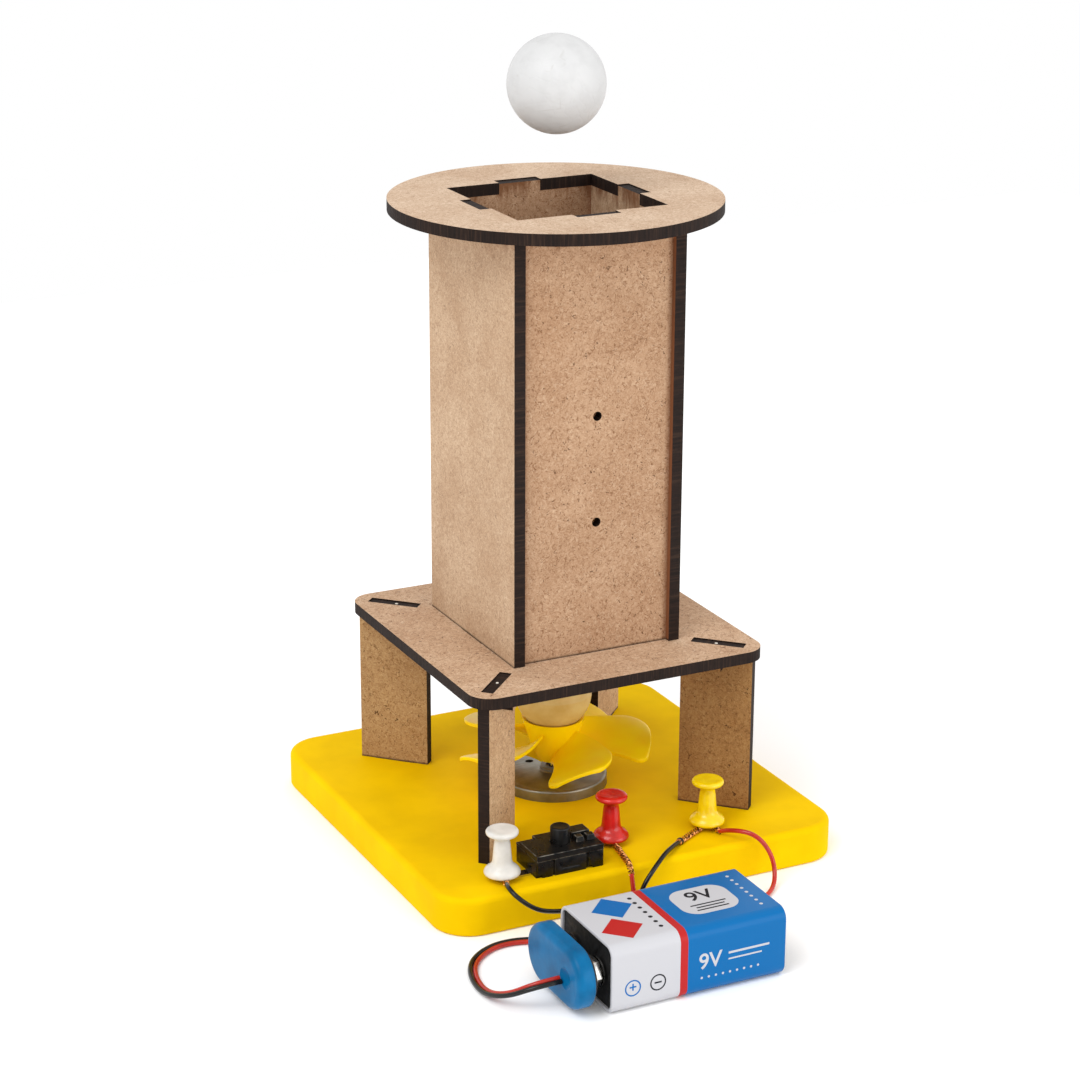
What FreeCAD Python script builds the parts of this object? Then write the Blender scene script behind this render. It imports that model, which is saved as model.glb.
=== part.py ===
import FreeCAD, Part
import math
import os

os.makedirs("parts", exist_ok=True)
V = FreeCAD.Vector
UP = V(0, 0, 1)
ORIGIN = V(0, 0, 0)
full_turn = 360.0
quarter_turn = 90.0
half_turn = 180.0

# The row stands on z = 0, the front is -Y, and the axis of tower and fan is x = y = 0
# Wooden sheet and foam board
sheet = 3.0
board_side = 112.0
board_thickness = 10.0
board_corner = 10.0
board_top_round = 1.6
board_bottom_round = 0.8

# Legs, each standing in a diagonal of the board
leg_height = 42.0
leg_width = 19.0
leg_tab_width = 13.8
leg_slot_margin = 4.0
foot_tab_width = 11.0
foot_tab_depth = 6.0
peg_width = 4.0
peg_overhang = 3.5
tab_play = 0.1
tab_recess = 0.3

# Table plate, tower and ring
plate_side = 82.0
plate_corner = 6.0
plate_hole_diameter = 38.0
tower_inner = 41.0
tower_height = 110.0
side_panel_overhang = 1.5
panel_tab_width = 11.6
ring_diameter = 84.0
panel_hole_diameter = 2.4
panel_hole_low = 34.8
panel_hole_pitch = 27.6

# Ball, floating on the air above the ring
ball_diameter = 24.6
ball_float = 28.0

# Motor, sunk in the board
motor_diameter = 28.8
motor_height = 9.8
motor_wall = 0.8
motor_edge_round = 0.8
motor_dome = 0.6
boss_diameter = 7.0
boss_height = 1.0
end_cap_thickness = 1.2
magnet_thickness = 2.4
magnet_height = 6.6
armature_gap = 0.5
armature_height = 5.2
armature_lift = 1.0
pocket_play = 0.1
shaft_diameter = 2.0
shaft_play = 0.05
shaft_foot = 0.8
fit_play = 0.05

# Fan
fan_radius = 26.0
fan_lift = 4.6
hub_height = 10.2
hub_bottom_diameter = 7.0
hub_rim_diameter = 13.0
hub_grip = 5.6
nose_diameter = 20.4
nose_pin_diameter = 4.0
nose_pin_length = 2.0
blade_count = 5
blade_pitch = 16.0
blade_thickness = 1.1
blade_root_radius = 2.6
blade_root_half_width = 3.2
blade_tip_half_width = 10.6
blade_middle_reach = 13.4
blade_lead_middle = 4.2
blade_trail_middle = 9.2
blade_lead_round = 1.4
blade_trail_round = 4.6
blade_first_angle = -27.3
blade_middle_height = 4.9

# Push-button switch
switch_x = -21.0
switch_y = -46.0
switch_length = 18.5
switch_depth = 12.0
switch_height = 6.0
switch_wall = 1.0
switch_cover_thickness = 1.6
switch_edge_round = 0.4
button_diameter = 5.0
button_play = 0.08
button_rise = 4.2
button_flange_diameter = 7.0
button_flange_thickness = 0.8
button_stem_diameter = 2.2
button_stem_length = 0.9
button_travel = 1.5
button_top_round = 0.5
spring_wall = 0.5
spring_play = 0.2
block_length = 5.0
block_depth = 5.0
block_height = 2.2
block_offset = 6.0
groove_width = 0.7
groove_depth = 0.5
lug_width = 2.6
lug_thickness = 0.5
lug_inside = 3.0
lug_eye_diameter = 4.2

# Push pins
pin_total = 12.1
pin_head_diameter = 8.2
pin_head_height = 1.6
pin_neck_top_diameter = 3.7
pin_neck_bottom_diameter = 4.8
pin_flare = 0.8
pin_flange_diameter = 9.2
pin_flange_height = 2.6
pin_stand = 1.4
pin_edge_round = 0.7
needle_diameter = 1.0
needle_in_head = 4.0
needle_depth = 8.0
needle_point = 2.0
needle_play = 0.05
white_pin = (-37.8, -47.8)
red_pin = (-4.0, -41.0)
yellow_pin = (22.5, -43.5)

# Nine-volt block battery, lying on its wide face
battery_length = 46.4
battery_width = 26.5
battery_height = 17.5
battery_left = -37.5
battery_front = -105.5
battery_round = 2.0
battery_board_thickness = 1.0
battery_base_thickness = 0.8
stud_spacing = 12.8
stud_length = 3.0
stud_diameter = 5.6
crown_length = 2.6
crown_diameter = 8.4
crown_bore = 5.9
battery_travel = 15.0

# Snap connector on the battery's studs
snap_gap = 3.5
snap_plate_thickness = 0.8
snap_plate_inset = 1.2
snap_cap_thickness = 4.4
snap_length = 28.0
snap_width = 15.0
snap_round = 1.6
snap_stud_diameter = 5.7
snap_stud_length = 2.8
snap_socket_length = 2.6
snap_socket_bore = 5.75

# Wires
wire_diameter = 1.2
copper_diameter = 0.9
copper_start_gap = 0.3
copper_needle_gap = 0.65
copper_second_gap = 1.5
channel_x = -6.7
channel_width = 4.6
channel_depth = 2.2
lead_spacing = 2.0
lead_height = 0.9
lead_start = -6.0
lead_end = -43.0
terminal_width = 1.6
terminal_thickness = 0.4
terminal_clear = 0.3
window_back = -3.0
window_front = -12.0
arc_share = 0.45

# Cuts run past the faces by this much, and edges are told apart to within the other
overrun = 1.0
match_tolerance = 1e-6

# Places that follow from the sizes
board_half = board_side / 2
plate_bottom = board_thickness + leg_height
plate_top = plate_bottom + sheet
plate_corner_reach = plate_side / 2 * math.sqrt(2) - plate_corner * (math.sqrt(2) - 1)
leg_reach = plate_corner_reach - leg_slot_margin - leg_tab_width / 2
tower_half = tower_inner / 2
tower_top = plate_top + tower_height
ring_top = tower_top + sheet
ball_height = ring_top + ball_float
motor_radius = motor_diameter / 2
motor_floor = board_thickness - (motor_height - sheet)
motor_top = motor_floor + motor_height
boss_top = motor_top + motor_dome + boss_height
hub_bottom = motor_top + fan_lift
hub_top = hub_bottom + hub_height
nose_height = hub_top + math.sqrt((nose_diameter ** 2 - hub_rim_diameter ** 2) / 4)
blade_middle = hub_bottom + blade_middle_height
switch_top = board_thickness + switch_height
pin_bottom = board_thickness + pin_stand
battery_right = battery_left + battery_length
battery_middle_y = battery_front + battery_width / 2
battery_middle_z = battery_height / 2
snap_plate_right = battery_left - snap_gap
snap_plate_left = snap_plate_right - snap_plate_thickness
snap_cap_left = snap_plate_left - snap_cap_thickness

# Wire routes, points chosen by hand, from the object to the far end
black_battery_route = [
    (-46.2, -97.0, 7.2), (-52.6, -97.0, 7.2), (-58.0, -91.5, 3.2), (-60.2, -83.0, 0.6),
    (-58.6, -72.5, 0.6), (-53.5, -65.0, 0.6), (-44.5, -61.2, 0.6), (-34.0, -64.6, 0.6),
    (-22.5, -69.4, 0.6), (-12.0, -69.8, 0.6), (-9.0, -64.6, 0.9), (-12.2, -59.4, 1.6),
    (-20.5, -59.2, 3.0), (-29.3, -60.0, 4.6), (-35.0, -61.4, 6.9), (-39.6, -60.4, 10.6),
    (-40.6, -56.2, 12.3), (-38.9, -52.6, 10.95)]
red_battery_route = [
    (-46.2, -95.0, 7.2), (-51.4, -95.0, 7.2), (-56.0, -90.2, 3.2), (-58.0, -82.6, 0.6),
    (-56.4, -73.8, 0.6), (-51.8, -67.2, 0.6), (-43.8, -63.8, 0.6), (-34.0, -67.4, 0.6),
    (-23.0, -72.0, 0.6), (-10.5, -74.4, 0.6), (3.0, -74.8, 0.6), (16.0, -73.0, 0.6),
    (26.0, -68.6, 0.6), (31.4, -63.6, 1.4), (32.2, -60.4, 7.2), (28.2, -58.8, 13.2),
    (24.0, -53.2, 13.0), (23.1, -49.0, 10.95)]
red_motor_route = [
    (-7.7, -43.0, 0.9), (-7.7, -59.6, 0.9), (-8.4, -59.9, 12.2), (-7.6, -53.9, 12.8), (-6.6, -49.4, 10.95)]
black_motor_route = [
    (-5.7, -43.0, 0.9), (-5.7, -59.6, 0.9), (-5.0, -59.9, 12.2), (0.5, -56.2, 13.0),
    (6.5, -52.0, 11.8), (11.3, -49.6, 10.75)]

nodes = {}


def box(low, high):
    return Part.makeBox(high[0] - low[0], high[1] - low[1], high[2] - low[2], V(*low))


def rod(diameter, bottom, top, x=0, y=0):
    return Part.makeCylinder(diameter / 2, top - bottom, V(x, y, bottom))


def rod_along_x(diameter, left, right, y, z):
    return Part.makeCylinder(diameter / 2, right - left, V(left, y, z), V(1, 0, 0))


def edges_along(shape, axis):
    chosen = []
    for edge in shape.Edges:
        if len(edge.Vertexes) < 2:
            continue
        span = edge.Vertexes[1].Point - edge.Vertexes[0].Point
        if span.Length - abs(span.dot(axis)) < match_tolerance:
            chosen.append(edge)
    return chosen


def edges_at_height(shape, height):
    return [edge for edge in shape.Edges
            if max(abs(edge.BoundBox.ZMin - height), abs(edge.BoundBox.ZMax - height)) < match_tolerance]


def rounded_slab(side, corner, bottom, top):
    half = side / 2
    slab = box((-half, -half, bottom), (half, half, top))
    return slab.makeFillet(corner, edges_along(slab, UP))


def turned(shape, angle):
    result = shape.copy()
    result.rotate(ORIGIN, UP, angle)
    return result


def lathe(profile, x=0, y=0, bottom=0):
    """Revolve a profile of (radius, height) points; a point marked 'arc' is the middle of an arc."""
    edges = []
    start = profile[0]
    index = 1
    while index < len(profile):
        point = profile[index]
        if point[0] == "arc":
            middle = point[1:]
            end = profile[index + 1]
            arc = Part.Arc(V(start[0], 0, start[1]), V(middle[0], 0, middle[1]), V(end[0], 0, end[1]))
            edges.append(arc.toShape())
            index += 2
        else:
            end = point
            edges.append(Part.LineSegment(V(start[0], 0, start[1]), V(end[0], 0, end[1])).toShape())
            index += 1
        start = end
    edges.append(Part.LineSegment(V(start[0], 0, start[1]), V(profile[0][0], 0, profile[0][1])).toShape())
    solid = Part.Face(Part.Wire(edges)).revolve(ORIGIN, UP, full_turn)
    solid.translate(V(x, y, bottom))
    return Part.Solid(solid) if solid.ShapeType != "Solid" else solid


def tube(name, points, diameter):
    """Straight runs joined by tangent arcs, each as large as its runs allow."""
    route = [V(*point) for point in points]
    edges = []
    radii = []
    start = route[0]
    for before, corner, after in zip(route, route[1:], route[2:]):
        into = (corner - before).normalize()
        out = (after - corner).normalize()
        turn = into.getAngle(out)
        shorter = min((corner - before).Length, (after - corner).Length)
        reach = arc_share * shorter
        radii.append(reach / math.tan(turn / 2))
        first = corner - into * reach
        last = corner + out * reach
        inward = (out - into).normalize()
        middle = (first + last) / 2 - inward * sagitta_of(radii[-1], turn)
        edges.append(Part.LineSegment(start, first).toShape())
        edges.append(Part.Arc(first, middle, last).toShape())
        start = last
    edges.append(Part.LineSegment(start, route[-1]).toShape())
    path = Part.Wire(edges)
    ring = Part.Wire(Part.makeCircle(diameter / 2, route[0], (route[1] - route[0]).normalize()))
    solid = path.makePipeShell([ring], True, False)
    share = solid.Volume / (math.pi * diameter ** 2 / 4 * path.Length)
    print("%s length %.1f least radius %.2f volume share %.4f" % (name, path.Length, min(radii), share))
    return solid


def sagitta_of(radius, turn):
    return radius * (1 - math.cos(turn / 2))


def make_board():
    board = rounded_slab(board_side, board_corner, 0, board_thickness)
    board = board.makeFillet(board_top_round, edges_at_height(board, board_thickness))
    board = board.makeFillet(board_bottom_round, edges_at_height(board, 0))
    pocket = rod(motor_diameter + 2 * pocket_play, motor_floor, board_thickness + overrun)
    window = box((channel_x - channel_width / 2, window_front, -overrun),
                 (channel_x + channel_width / 2, window_back, motor_floor + overrun))
    channel = box((channel_x - channel_width / 2, -board_half - overrun, -overrun),
                  (channel_x + channel_width / 2, window_front + overrun, channel_depth))
    cuts = [pocket, window, channel]
    half_foot = foot_tab_width / 2 + tab_play
    for angle in leg_angles():
        slot_bottom = board_thickness - foot_tab_depth - tab_play
        slot = box((leg_reach - half_foot, -sheet / 2 - tab_play, slot_bottom),
                   (leg_reach + half_foot, sheet / 2 + tab_play, board_thickness + overrun))
        cuts.append(turned(slot, angle))
    for x, y in (white_pin, red_pin, yellow_pin):
        bottom = pin_bottom - pin_stand - needle_depth - needle_play
        cuts.append(rod(needle_diameter + 2 * needle_play, bottom, board_thickness + overrun, x, y))
    nodes["base_board"] = board.cut(cuts)


def leg_angles():
    return [quarter_turn / 2 + quarter_turn * index for index in range(4)]


def make_legs():
    names = ("back_right", "back_left", "front_left", "front_right")
    half = leg_width / 2
    tab = leg_tab_width / 2
    foot = foot_tab_width / 2
    peg = peg_width / 2
    for name, angle in zip(names, leg_angles()):
        web = box((leg_reach - half, -sheet / 2, board_thickness),
                  (leg_reach + half, sheet / 2, plate_bottom))
        top = box((leg_reach - tab, -sheet / 2, plate_bottom),
                  (leg_reach + tab, sheet / 2, plate_top - tab_recess))
        low = box((leg_reach - foot, -sheet / 2, board_thickness - foot_tab_depth),
                  (leg_reach + foot, sheet / 2, board_thickness))
        window = box((leg_reach - peg - fit_play, -sheet, plate_bottom - sheet - fit_play),
                     (leg_reach + peg + fit_play, sheet, plate_bottom))
        leg = web.fuse([low]).cut(window).fuse(top).removeSplitter()
        nodes["leg_" + name] = turned(leg, angle)
        across = sheet / 2 + peg_overhang
        block = box((leg_reach - peg, -across, plate_bottom - sheet),
                    (leg_reach + peg, across, plate_bottom))
        nodes["leg_peg_" + name] = turned(block, angle)


def panel_slot(bottom, top, play):
    """The hole for one panel's tab, on the +Y side."""
    half = panel_tab_width / 2 + play
    return box((-half, tower_half - play, bottom), (half, tower_half + sheet + play, top))


def make_plate():
    plate = rounded_slab(plate_side, plate_corner, plate_bottom, plate_top)
    cuts = [rod(plate_hole_diameter, plate_bottom - overrun, plate_top + overrun)]
    half = leg_tab_width / 2 + tab_play
    for angle in leg_angles():
        slot = box((leg_reach - half, -sheet / 2 - tab_play, plate_bottom - overrun),
                   (leg_reach + half, sheet / 2 + tab_play, plate_top + overrun))
        tab_slot = panel_slot(plate_bottom - overrun, plate_top + overrun, tab_play)
        cuts.append(turned(slot, angle))
        cuts.append(turned(tab_slot, angle + quarter_turn / 2))
    nodes["table_plate"] = plate.cut(cuts)


def make_tower():
    tab = panel_tab_width / 2
    outer = tower_half + sheet
    half_widths = {"front": tower_half, "back": tower_half,
                   "right": outer + side_panel_overhang, "left": outer + side_panel_overhang}
    angles = {"back": 0, "left": quarter_turn, "front": half_turn, "right": -quarter_turn}
    for name, angle in angles.items():
        half = half_widths[name]
        wall = box((-half, tower_half, plate_top), (half, outer, tower_top))
        tabs = box((-tab, tower_half, plate_bottom + tab_recess), (tab, outer, ring_top - tab_recess))
        panel = wall.fuse(tabs).removeSplitter()
        if name == "front":
            for height in (panel_hole_low, panel_hole_low + panel_hole_pitch):
                hole = Part.makeCylinder(panel_hole_diameter / 2, sheet + 2 * overrun,
                                         V(0, tower_half - overrun, plate_top + height), V(0, 1, 0))
                panel = panel.cut(hole)
        nodes["tower_panel_" + name] = turned(panel, angle)


def make_ring():
    ring = rod(ring_diameter, tower_top, ring_top)
    hole = box((-tower_half, -tower_half, tower_top - overrun), (tower_half, tower_half, ring_top + overrun))
    notches = [turned(panel_slot(tower_top - overrun, ring_top + overrun, tab_play), quarter_turn * index)
               for index in range(4)]
    nodes["top_ring"] = ring.cut([hole] + notches)
    nodes["foam_ball"] = Part.makeSphere(ball_diameter / 2, V(0, 0, ball_height))


def make_motor():
    bore = shaft_diameter / 2 + shaft_play
    inner = motor_diameter - 2 * motor_wall
    can = rod(motor_diameter, motor_floor, motor_top)
    can = can.makeFillet(motor_edge_round, edges_at_height(can, motor_top))
    dome_radius = motor_radius - 2 * motor_edge_round
    dome = Part.makeCone(dome_radius, boss_diameter / 2, motor_dome, V(0, 0, motor_top))
    boss = rod(boss_diameter, motor_top, boss_top)
    hollow = rod(inner, motor_floor - overrun, motor_top - motor_wall)
    hole = rod(2 * bore, motor_floor, boss_top + overrun)
    nodes["motor_can"] = can.fuse([dome, boss]).cut([hollow, hole]).removeSplitter()
    cap_top = motor_floor + end_cap_thickness
    cap = rod(inner - 2 * fit_play, motor_floor, cap_top)
    nodes["motor_end_cap"] = cap.cut(rod(2 * bore, cap_top - shaft_foot - shaft_play, cap_top + overrun))
    magnet_outer = inner - 2 * fit_play
    magnet_inner = magnet_outer - 2 * magnet_thickness
    magnet_top = cap_top + magnet_height
    magnet = rod(magnet_outer, cap_top, magnet_top)
    nodes["motor_magnet"] = magnet.cut(rod(magnet_inner, cap_top - overrun, magnet_top + overrun))
    armature_bottom = cap_top + armature_lift
    armature = rod(magnet_inner - 2 * armature_gap, armature_bottom, armature_bottom + armature_height)
    nodes["motor_armature"] = armature.cut(rod(shaft_diameter, armature_bottom - overrun, motor_top))
    nodes["motor_shaft"] = rod(shaft_diameter, cap_top - shaft_foot, hub_bottom + hub_grip)
    tabs = []
    for x in lead_places():
        low = (x - terminal_width / 2, lead_start, terminal_clear)
        high = (x + terminal_width / 2, lead_start + terminal_thickness, motor_floor)
        tabs.append(box(low, high))
    nodes["motor_terminals"] = Part.makeCompound(tabs)


def make_blade():
    """One blade along +X: hollow leading edge low on the -Y side, full trailing edge high on the +Y side."""
    tip_half = blade_tip_half_width
    tip_out = math.sqrt(fan_radius ** 2 - (tip_half * math.cos(math.radians(blade_pitch))) ** 2)
    lead_root = V(blade_root_radius, -blade_root_half_width, 0)
    lead_tip = V(tip_out, -tip_half, 0)
    trail_tip = V(tip_out, tip_half, 0)
    trail_root = V(blade_root_radius, blade_root_half_width, 0)
    edges = [Part.Arc(lead_root, V(blade_middle_reach, -blade_lead_middle, 0), lead_tip).toShape(),
             Part.Arc(lead_tip, V(fan_radius, 0, 0), trail_tip).toShape(),
             Part.Arc(trail_tip, V(blade_middle_reach, blade_trail_middle, 0), trail_root).toShape(),
             Part.LineSegment(trail_root, lead_root).toShape()]
    blade = Part.Face(Part.Wire(edges)).extrude(V(0, 0, blade_thickness))
    for side, size in ((-1, blade_lead_round), (1, blade_trail_round)):
        outer = [edge for edge in edges_along(blade, UP) if edge.BoundBox.XMin > tip_out - fit_play]
        corners = [edge for edge in outer if edge.BoundBox.Center.y * side > tip_half - fit_play]
        blade = blade.makeFillet(size, corners)
    blade.translate(V(0, 0, -blade_thickness / 2))
    blade.rotate(ORIGIN, V(1, 0, 0), blade_pitch)
    blade.translate(V(0, 0, blade_middle))
    return blade


def make_fan():
    hub = Part.makeCone(hub_bottom_diameter / 2, hub_rim_diameter / 2, hub_height, V(0, 0, hub_bottom))
    blades = [turned(make_blade(), blade_first_angle + full_turn / blade_count * index)
              for index in range(blade_count)]
    nose = Part.makeSphere(nose_diameter / 2, V(0, 0, nose_height))
    nose_bottom = nose_height - nose_diameter / 2
    nose_pin = rod(nose_pin_diameter, nose_bottom - nose_pin_length, nose_height)
    bore = rod(shaft_diameter, hub_bottom - overrun, hub_bottom + hub_grip)
    nodes["fan_rotor"] = hub.fuse(blades).cut([nose, nose_pin, bore]).removeSplitter()
    nodes["fan_nose"] = nose.fuse(nose_pin).removeSplitter()


def make_switch():
    half = switch_length / 2
    deep = switch_depth / 2
    cover_bottom = switch_top - switch_cover_thickness
    low = (switch_x - half, switch_y - deep, board_thickness)
    high = (switch_x + half, switch_y + deep, cover_bottom)
    hollow = box((low[0] + switch_wall, low[1] + switch_wall, low[2] + switch_wall),
                 (high[0] - switch_wall, high[1] - switch_wall, cover_bottom + overrun))
    housing = box(low, high)
    housing = housing.makeFillet(switch_edge_round, edges_along(housing, UP))
    grooves = []
    for side in (-1, 1):
        middle = switch_x + side * switch_length / 4
        grooves.append(box((middle - groove_width / 2, low[1] - overrun, low[2] - overrun),
                           (middle + groove_width / 2, low[1] + groove_depth, high[2] + overrun)))
    lug_rooms = [box((low[0] - overrun, white_pin[1] - lug_width / 2 - fit_play, low[2] - overrun),
                     (low[0] + lug_inside + fit_play, white_pin[1] + lug_width / 2 + fit_play,
                      low[2] + lug_thickness + fit_play)),
                 box((high[0] - lug_inside - fit_play, red_pin[1] - lug_width / 2 - fit_play,
                      low[2] - overrun),
                     (high[0] + overrun, red_pin[1] + lug_width / 2 + fit_play,
                      low[2] + lug_thickness + fit_play))]
    nodes["switch_housing"] = housing.cut([hollow] + grooves + lug_rooms)
    cover = box((low[0], low[1], cover_bottom), (high[0], high[1], switch_top))
    cover = cover.makeFillet(switch_edge_round, edges_along(cover, UP) + edges_at_height(cover, switch_top))
    block_x = switch_x + block_offset
    block_top = switch_top + block_height
    block = box((block_x - block_length / 2, switch_y - block_depth / 2, cover_bottom),
                (block_x + block_length / 2, switch_y + block_depth / 2, block_top))
    block = block.makeFillet(switch_edge_round, edges_at_height(block, block_top))
    hole_diameter = button_diameter + 2 * button_play
    hole = rod(hole_diameter, cover_bottom - overrun, switch_top + overrun, switch_x, switch_y)
    nodes["switch_cover"] = cover.fuse(block).cut(hole).removeSplitter()
    flange_top = cover_bottom - fit_play
    flange_bottom = flange_top - button_flange_thickness
    button = rod(button_diameter, flange_top, switch_top + button_rise, switch_x, switch_y)
    button = button.makeFillet(button_top_round, edges_at_height(button, switch_top + button_rise))
    flange = rod(button_flange_diameter, flange_bottom, flange_top, switch_x, switch_y)
    stem = rod(button_stem_diameter, flange_bottom - button_stem_length, flange_bottom, switch_x, switch_y)
    nodes["switch_button"] = button.fuse([flange, stem]).removeSplitter()
    spring_inner = button_stem_diameter + 2 * spring_play
    spring_bottom = board_thickness + switch_wall
    spring = rod(spring_inner + 2 * spring_wall, spring_bottom, flange_bottom, switch_x, switch_y)
    nodes["switch_spring"] = spring.cut(rod(spring_inner, spring_bottom - overrun, flange_bottom + overrun,
                                            switch_x, switch_y))
    nodes["switch_lug_left"] = make_lug(white_pin, low[0] + lug_inside)
    nodes["switch_lug_right"] = make_lug(red_pin, high[0] - lug_inside)


def make_lug(pin, inner_end):
    left = min(pin[0], inner_end)
    right = max(pin[0], inner_end)
    top = board_thickness + lug_thickness
    strip = box((left, pin[1] - lug_width / 2, board_thickness), (right, pin[1] + lug_width / 2, top))
    eye = rod(lug_eye_diameter, board_thickness, top, *pin)
    hole = rod(needle_diameter + 2 * needle_play, board_thickness - overrun, top + overrun, *pin)
    return strip.fuse(eye).cut(hole).removeSplitter()


def make_pin(name, place):
    flange = pin_flange_diameter / 2
    head = pin_head_diameter / 2
    neck_top = pin_neck_top_diameter / 2
    neck_bottom = pin_neck_bottom_diameter / 2
    bore = needle_diameter / 2
    edge = pin_edge_round
    corner = edge * (1 - math.sqrt(0.5))
    head_bottom = pin_total - pin_head_height
    shoulder = edge + (pin_flange_height - edge) * math.sqrt(0.5)
    shoulder_radius = neck_bottom + (flange - neck_bottom) * math.sqrt(0.5)
    profile = [(0, needle_in_head), (bore, needle_in_head), (bore, 0), (flange - edge, 0),
               ("arc", flange - corner, corner), (flange, edge),
               ("arc", shoulder_radius, shoulder), (neck_bottom, pin_flange_height),
               (neck_top, head_bottom - pin_flare), (head - edge, head_bottom),
               ("arc", head - corner, head_bottom + corner), (head, head_bottom + edge),
               ("arc", head - corner, pin_total - corner), (head - edge, pin_total), (0, pin_total)]
    nodes["pin_head_" + name] = lathe(profile, place[0], place[1], pin_bottom)
    point = board_thickness - needle_depth
    shank = rod(needle_diameter, point + needle_point, pin_bottom + needle_in_head, *place)
    tip = Part.makeCone(0, needle_diameter / 2, needle_point, V(place[0], place[1], point))
    nodes["pin_needle_" + name] = shank.fuse(tip).removeSplitter()


def battery_slice(left, right):
    block = box((left, battery_front, 0), (right, battery_front + battery_width, battery_height))
    return block.makeFillet(battery_round, edges_along(block, V(1, 0, 0)))


def stud_places():
    return battery_middle_y - stud_spacing / 2, battery_middle_y + stud_spacing / 2


def make_battery():
    case_left = battery_left + battery_board_thickness
    case_right = battery_right - battery_base_thickness
    plus_y, minus_y = stud_places()
    nodes["battery_case"] = battery_slice(case_left, case_right)
    nodes["battery_top_board"] = battery_slice(battery_left, case_left)
    nodes["battery_base"] = battery_slice(case_right, battery_right)
    middle = battery_middle_z
    stud = rod_along_x(stud_diameter, battery_left - stud_length, battery_left, plus_y, middle)
    nodes["battery_plus_stud"] = stud
    crown_left = battery_left - crown_length
    crown = rod_along_x(crown_diameter, crown_left, battery_left, minus_y, middle)
    bore = rod_along_x(crown_bore, crown_left - overrun, battery_left - fit_play, minus_y, middle)
    nodes["battery_minus_crown"] = crown.cut(bore)


def stadium(left, right, length, width):
    half = (length - width) / 2
    middle = battery_middle_z
    low = (left, battery_middle_y - half, middle - width / 2)
    high = (right, battery_middle_y + half, middle + width / 2)
    slab = box(low, high)
    ends = [rod_along_x(width, left, right, battery_middle_y + side * half, middle) for side in (-1, 1)]
    return slab.fuse(ends).removeSplitter()


def make_snap():
    plus_y, minus_y = stud_places()
    middle = battery_middle_z
    cap = stadium(snap_cap_left, snap_plate_left, snap_length, snap_width)
    outer_edges = [edge for edge in cap.Edges if edge.BoundBox.XMax < snap_cap_left + fit_play]
    nodes["snap_cap"] = cap.makeFillet(snap_round, outer_edges)
    trim = 2 * snap_plate_inset
    nodes["snap_plate"] = stadium(snap_plate_left, snap_plate_right,
                                  snap_length - trim, snap_width - trim)
    socket_end = snap_plate_right + snap_socket_length
    socket = rod_along_x(crown_diameter, snap_plate_right, socket_end, plus_y, middle)
    bore = rod_along_x(snap_socket_bore, snap_plate_right + fit_play, socket_end + overrun, plus_y, middle)
    nodes["snap_socket"] = socket.cut(bore)
    stud_end = snap_plate_right + snap_stud_length
    nodes["snap_stud"] = rod_along_x(snap_stud_diameter, snap_plate_right, stud_end, minus_y, middle)


def lead_places():
    return channel_x - lead_spacing / 2, channel_x + lead_spacing / 2


def copper_end(route, pin, needle_gap):
    start = V(*route[-1])
    target = V(pin[0], pin[1], start.z)
    direction = (target - start).normalize()
    first = start + direction * copper_start_gap
    length = (target - direction * needle_gap - first).Length
    return Part.makeCylinder(copper_diameter / 2, length, first, direction)


def make_wires():
    nodes["wire_black_battery"] = tube("black battery wire", black_battery_route, wire_diameter)
    nodes["wire_red_battery"] = tube("red battery wire", red_battery_route, wire_diameter)
    nodes["wire_red_motor"] = tube("red motor wire", red_motor_route, wire_diameter)
    nodes["wire_black_motor"] = tube("black motor wire", black_motor_route, wire_diameter)
    nodes["copper_at_white_pin"] = copper_end(black_battery_route, white_pin, copper_needle_gap)
    nodes["copper_at_red_pin"] = copper_end(red_motor_route, red_pin, copper_needle_gap)
    nodes["copper_at_yellow_pin_motor"] = copper_end(black_motor_route, yellow_pin, copper_needle_gap)
    nodes["copper_at_yellow_pin_battery"] = copper_end(red_battery_route, yellow_pin, copper_second_gap)
    for name, x in zip(("red", "black"), lead_places()):
        nodes["motor_lead_" + name] = Part.makeCylinder(wire_diameter / 2, lead_start - lead_end,
                                                        V(x, lead_end, lead_height), V(0, 1, 0))


make_board()
make_legs()
make_plate()
make_tower()
make_ring()
make_motor()
make_fan()
make_switch()
for pin_name, pin_place in (("white", white_pin), ("red", red_pin), ("yellow", yellow_pin)):
    make_pin(pin_name, pin_place)
make_battery()
make_snap()
make_wires()
for node_name, shape in nodes.items():
    shape.exportStep("parts/" + node_name + ".step")
    print(node_name, shape.ShapeType, len(shape.Solids), "volume %.1f" % shape.Volume, shape.isValid())
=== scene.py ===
import bmesh
import bpy
import random
from math import acos, copysign, cos, degrees, radians, sin, sqrt, tau
from mathutils import Matrix, Vector, noise


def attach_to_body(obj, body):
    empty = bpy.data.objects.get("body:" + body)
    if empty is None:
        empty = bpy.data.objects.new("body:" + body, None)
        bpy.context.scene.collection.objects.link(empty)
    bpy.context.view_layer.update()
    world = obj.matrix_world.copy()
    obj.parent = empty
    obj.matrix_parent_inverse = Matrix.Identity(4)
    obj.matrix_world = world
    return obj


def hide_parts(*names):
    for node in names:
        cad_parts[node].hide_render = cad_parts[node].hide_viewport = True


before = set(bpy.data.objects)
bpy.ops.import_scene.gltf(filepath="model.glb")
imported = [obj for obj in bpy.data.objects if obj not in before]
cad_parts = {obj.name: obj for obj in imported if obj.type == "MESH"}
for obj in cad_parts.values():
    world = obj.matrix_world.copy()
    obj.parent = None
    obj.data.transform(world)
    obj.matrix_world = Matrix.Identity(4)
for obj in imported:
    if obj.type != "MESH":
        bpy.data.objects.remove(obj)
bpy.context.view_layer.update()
mm = 0.001
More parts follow.
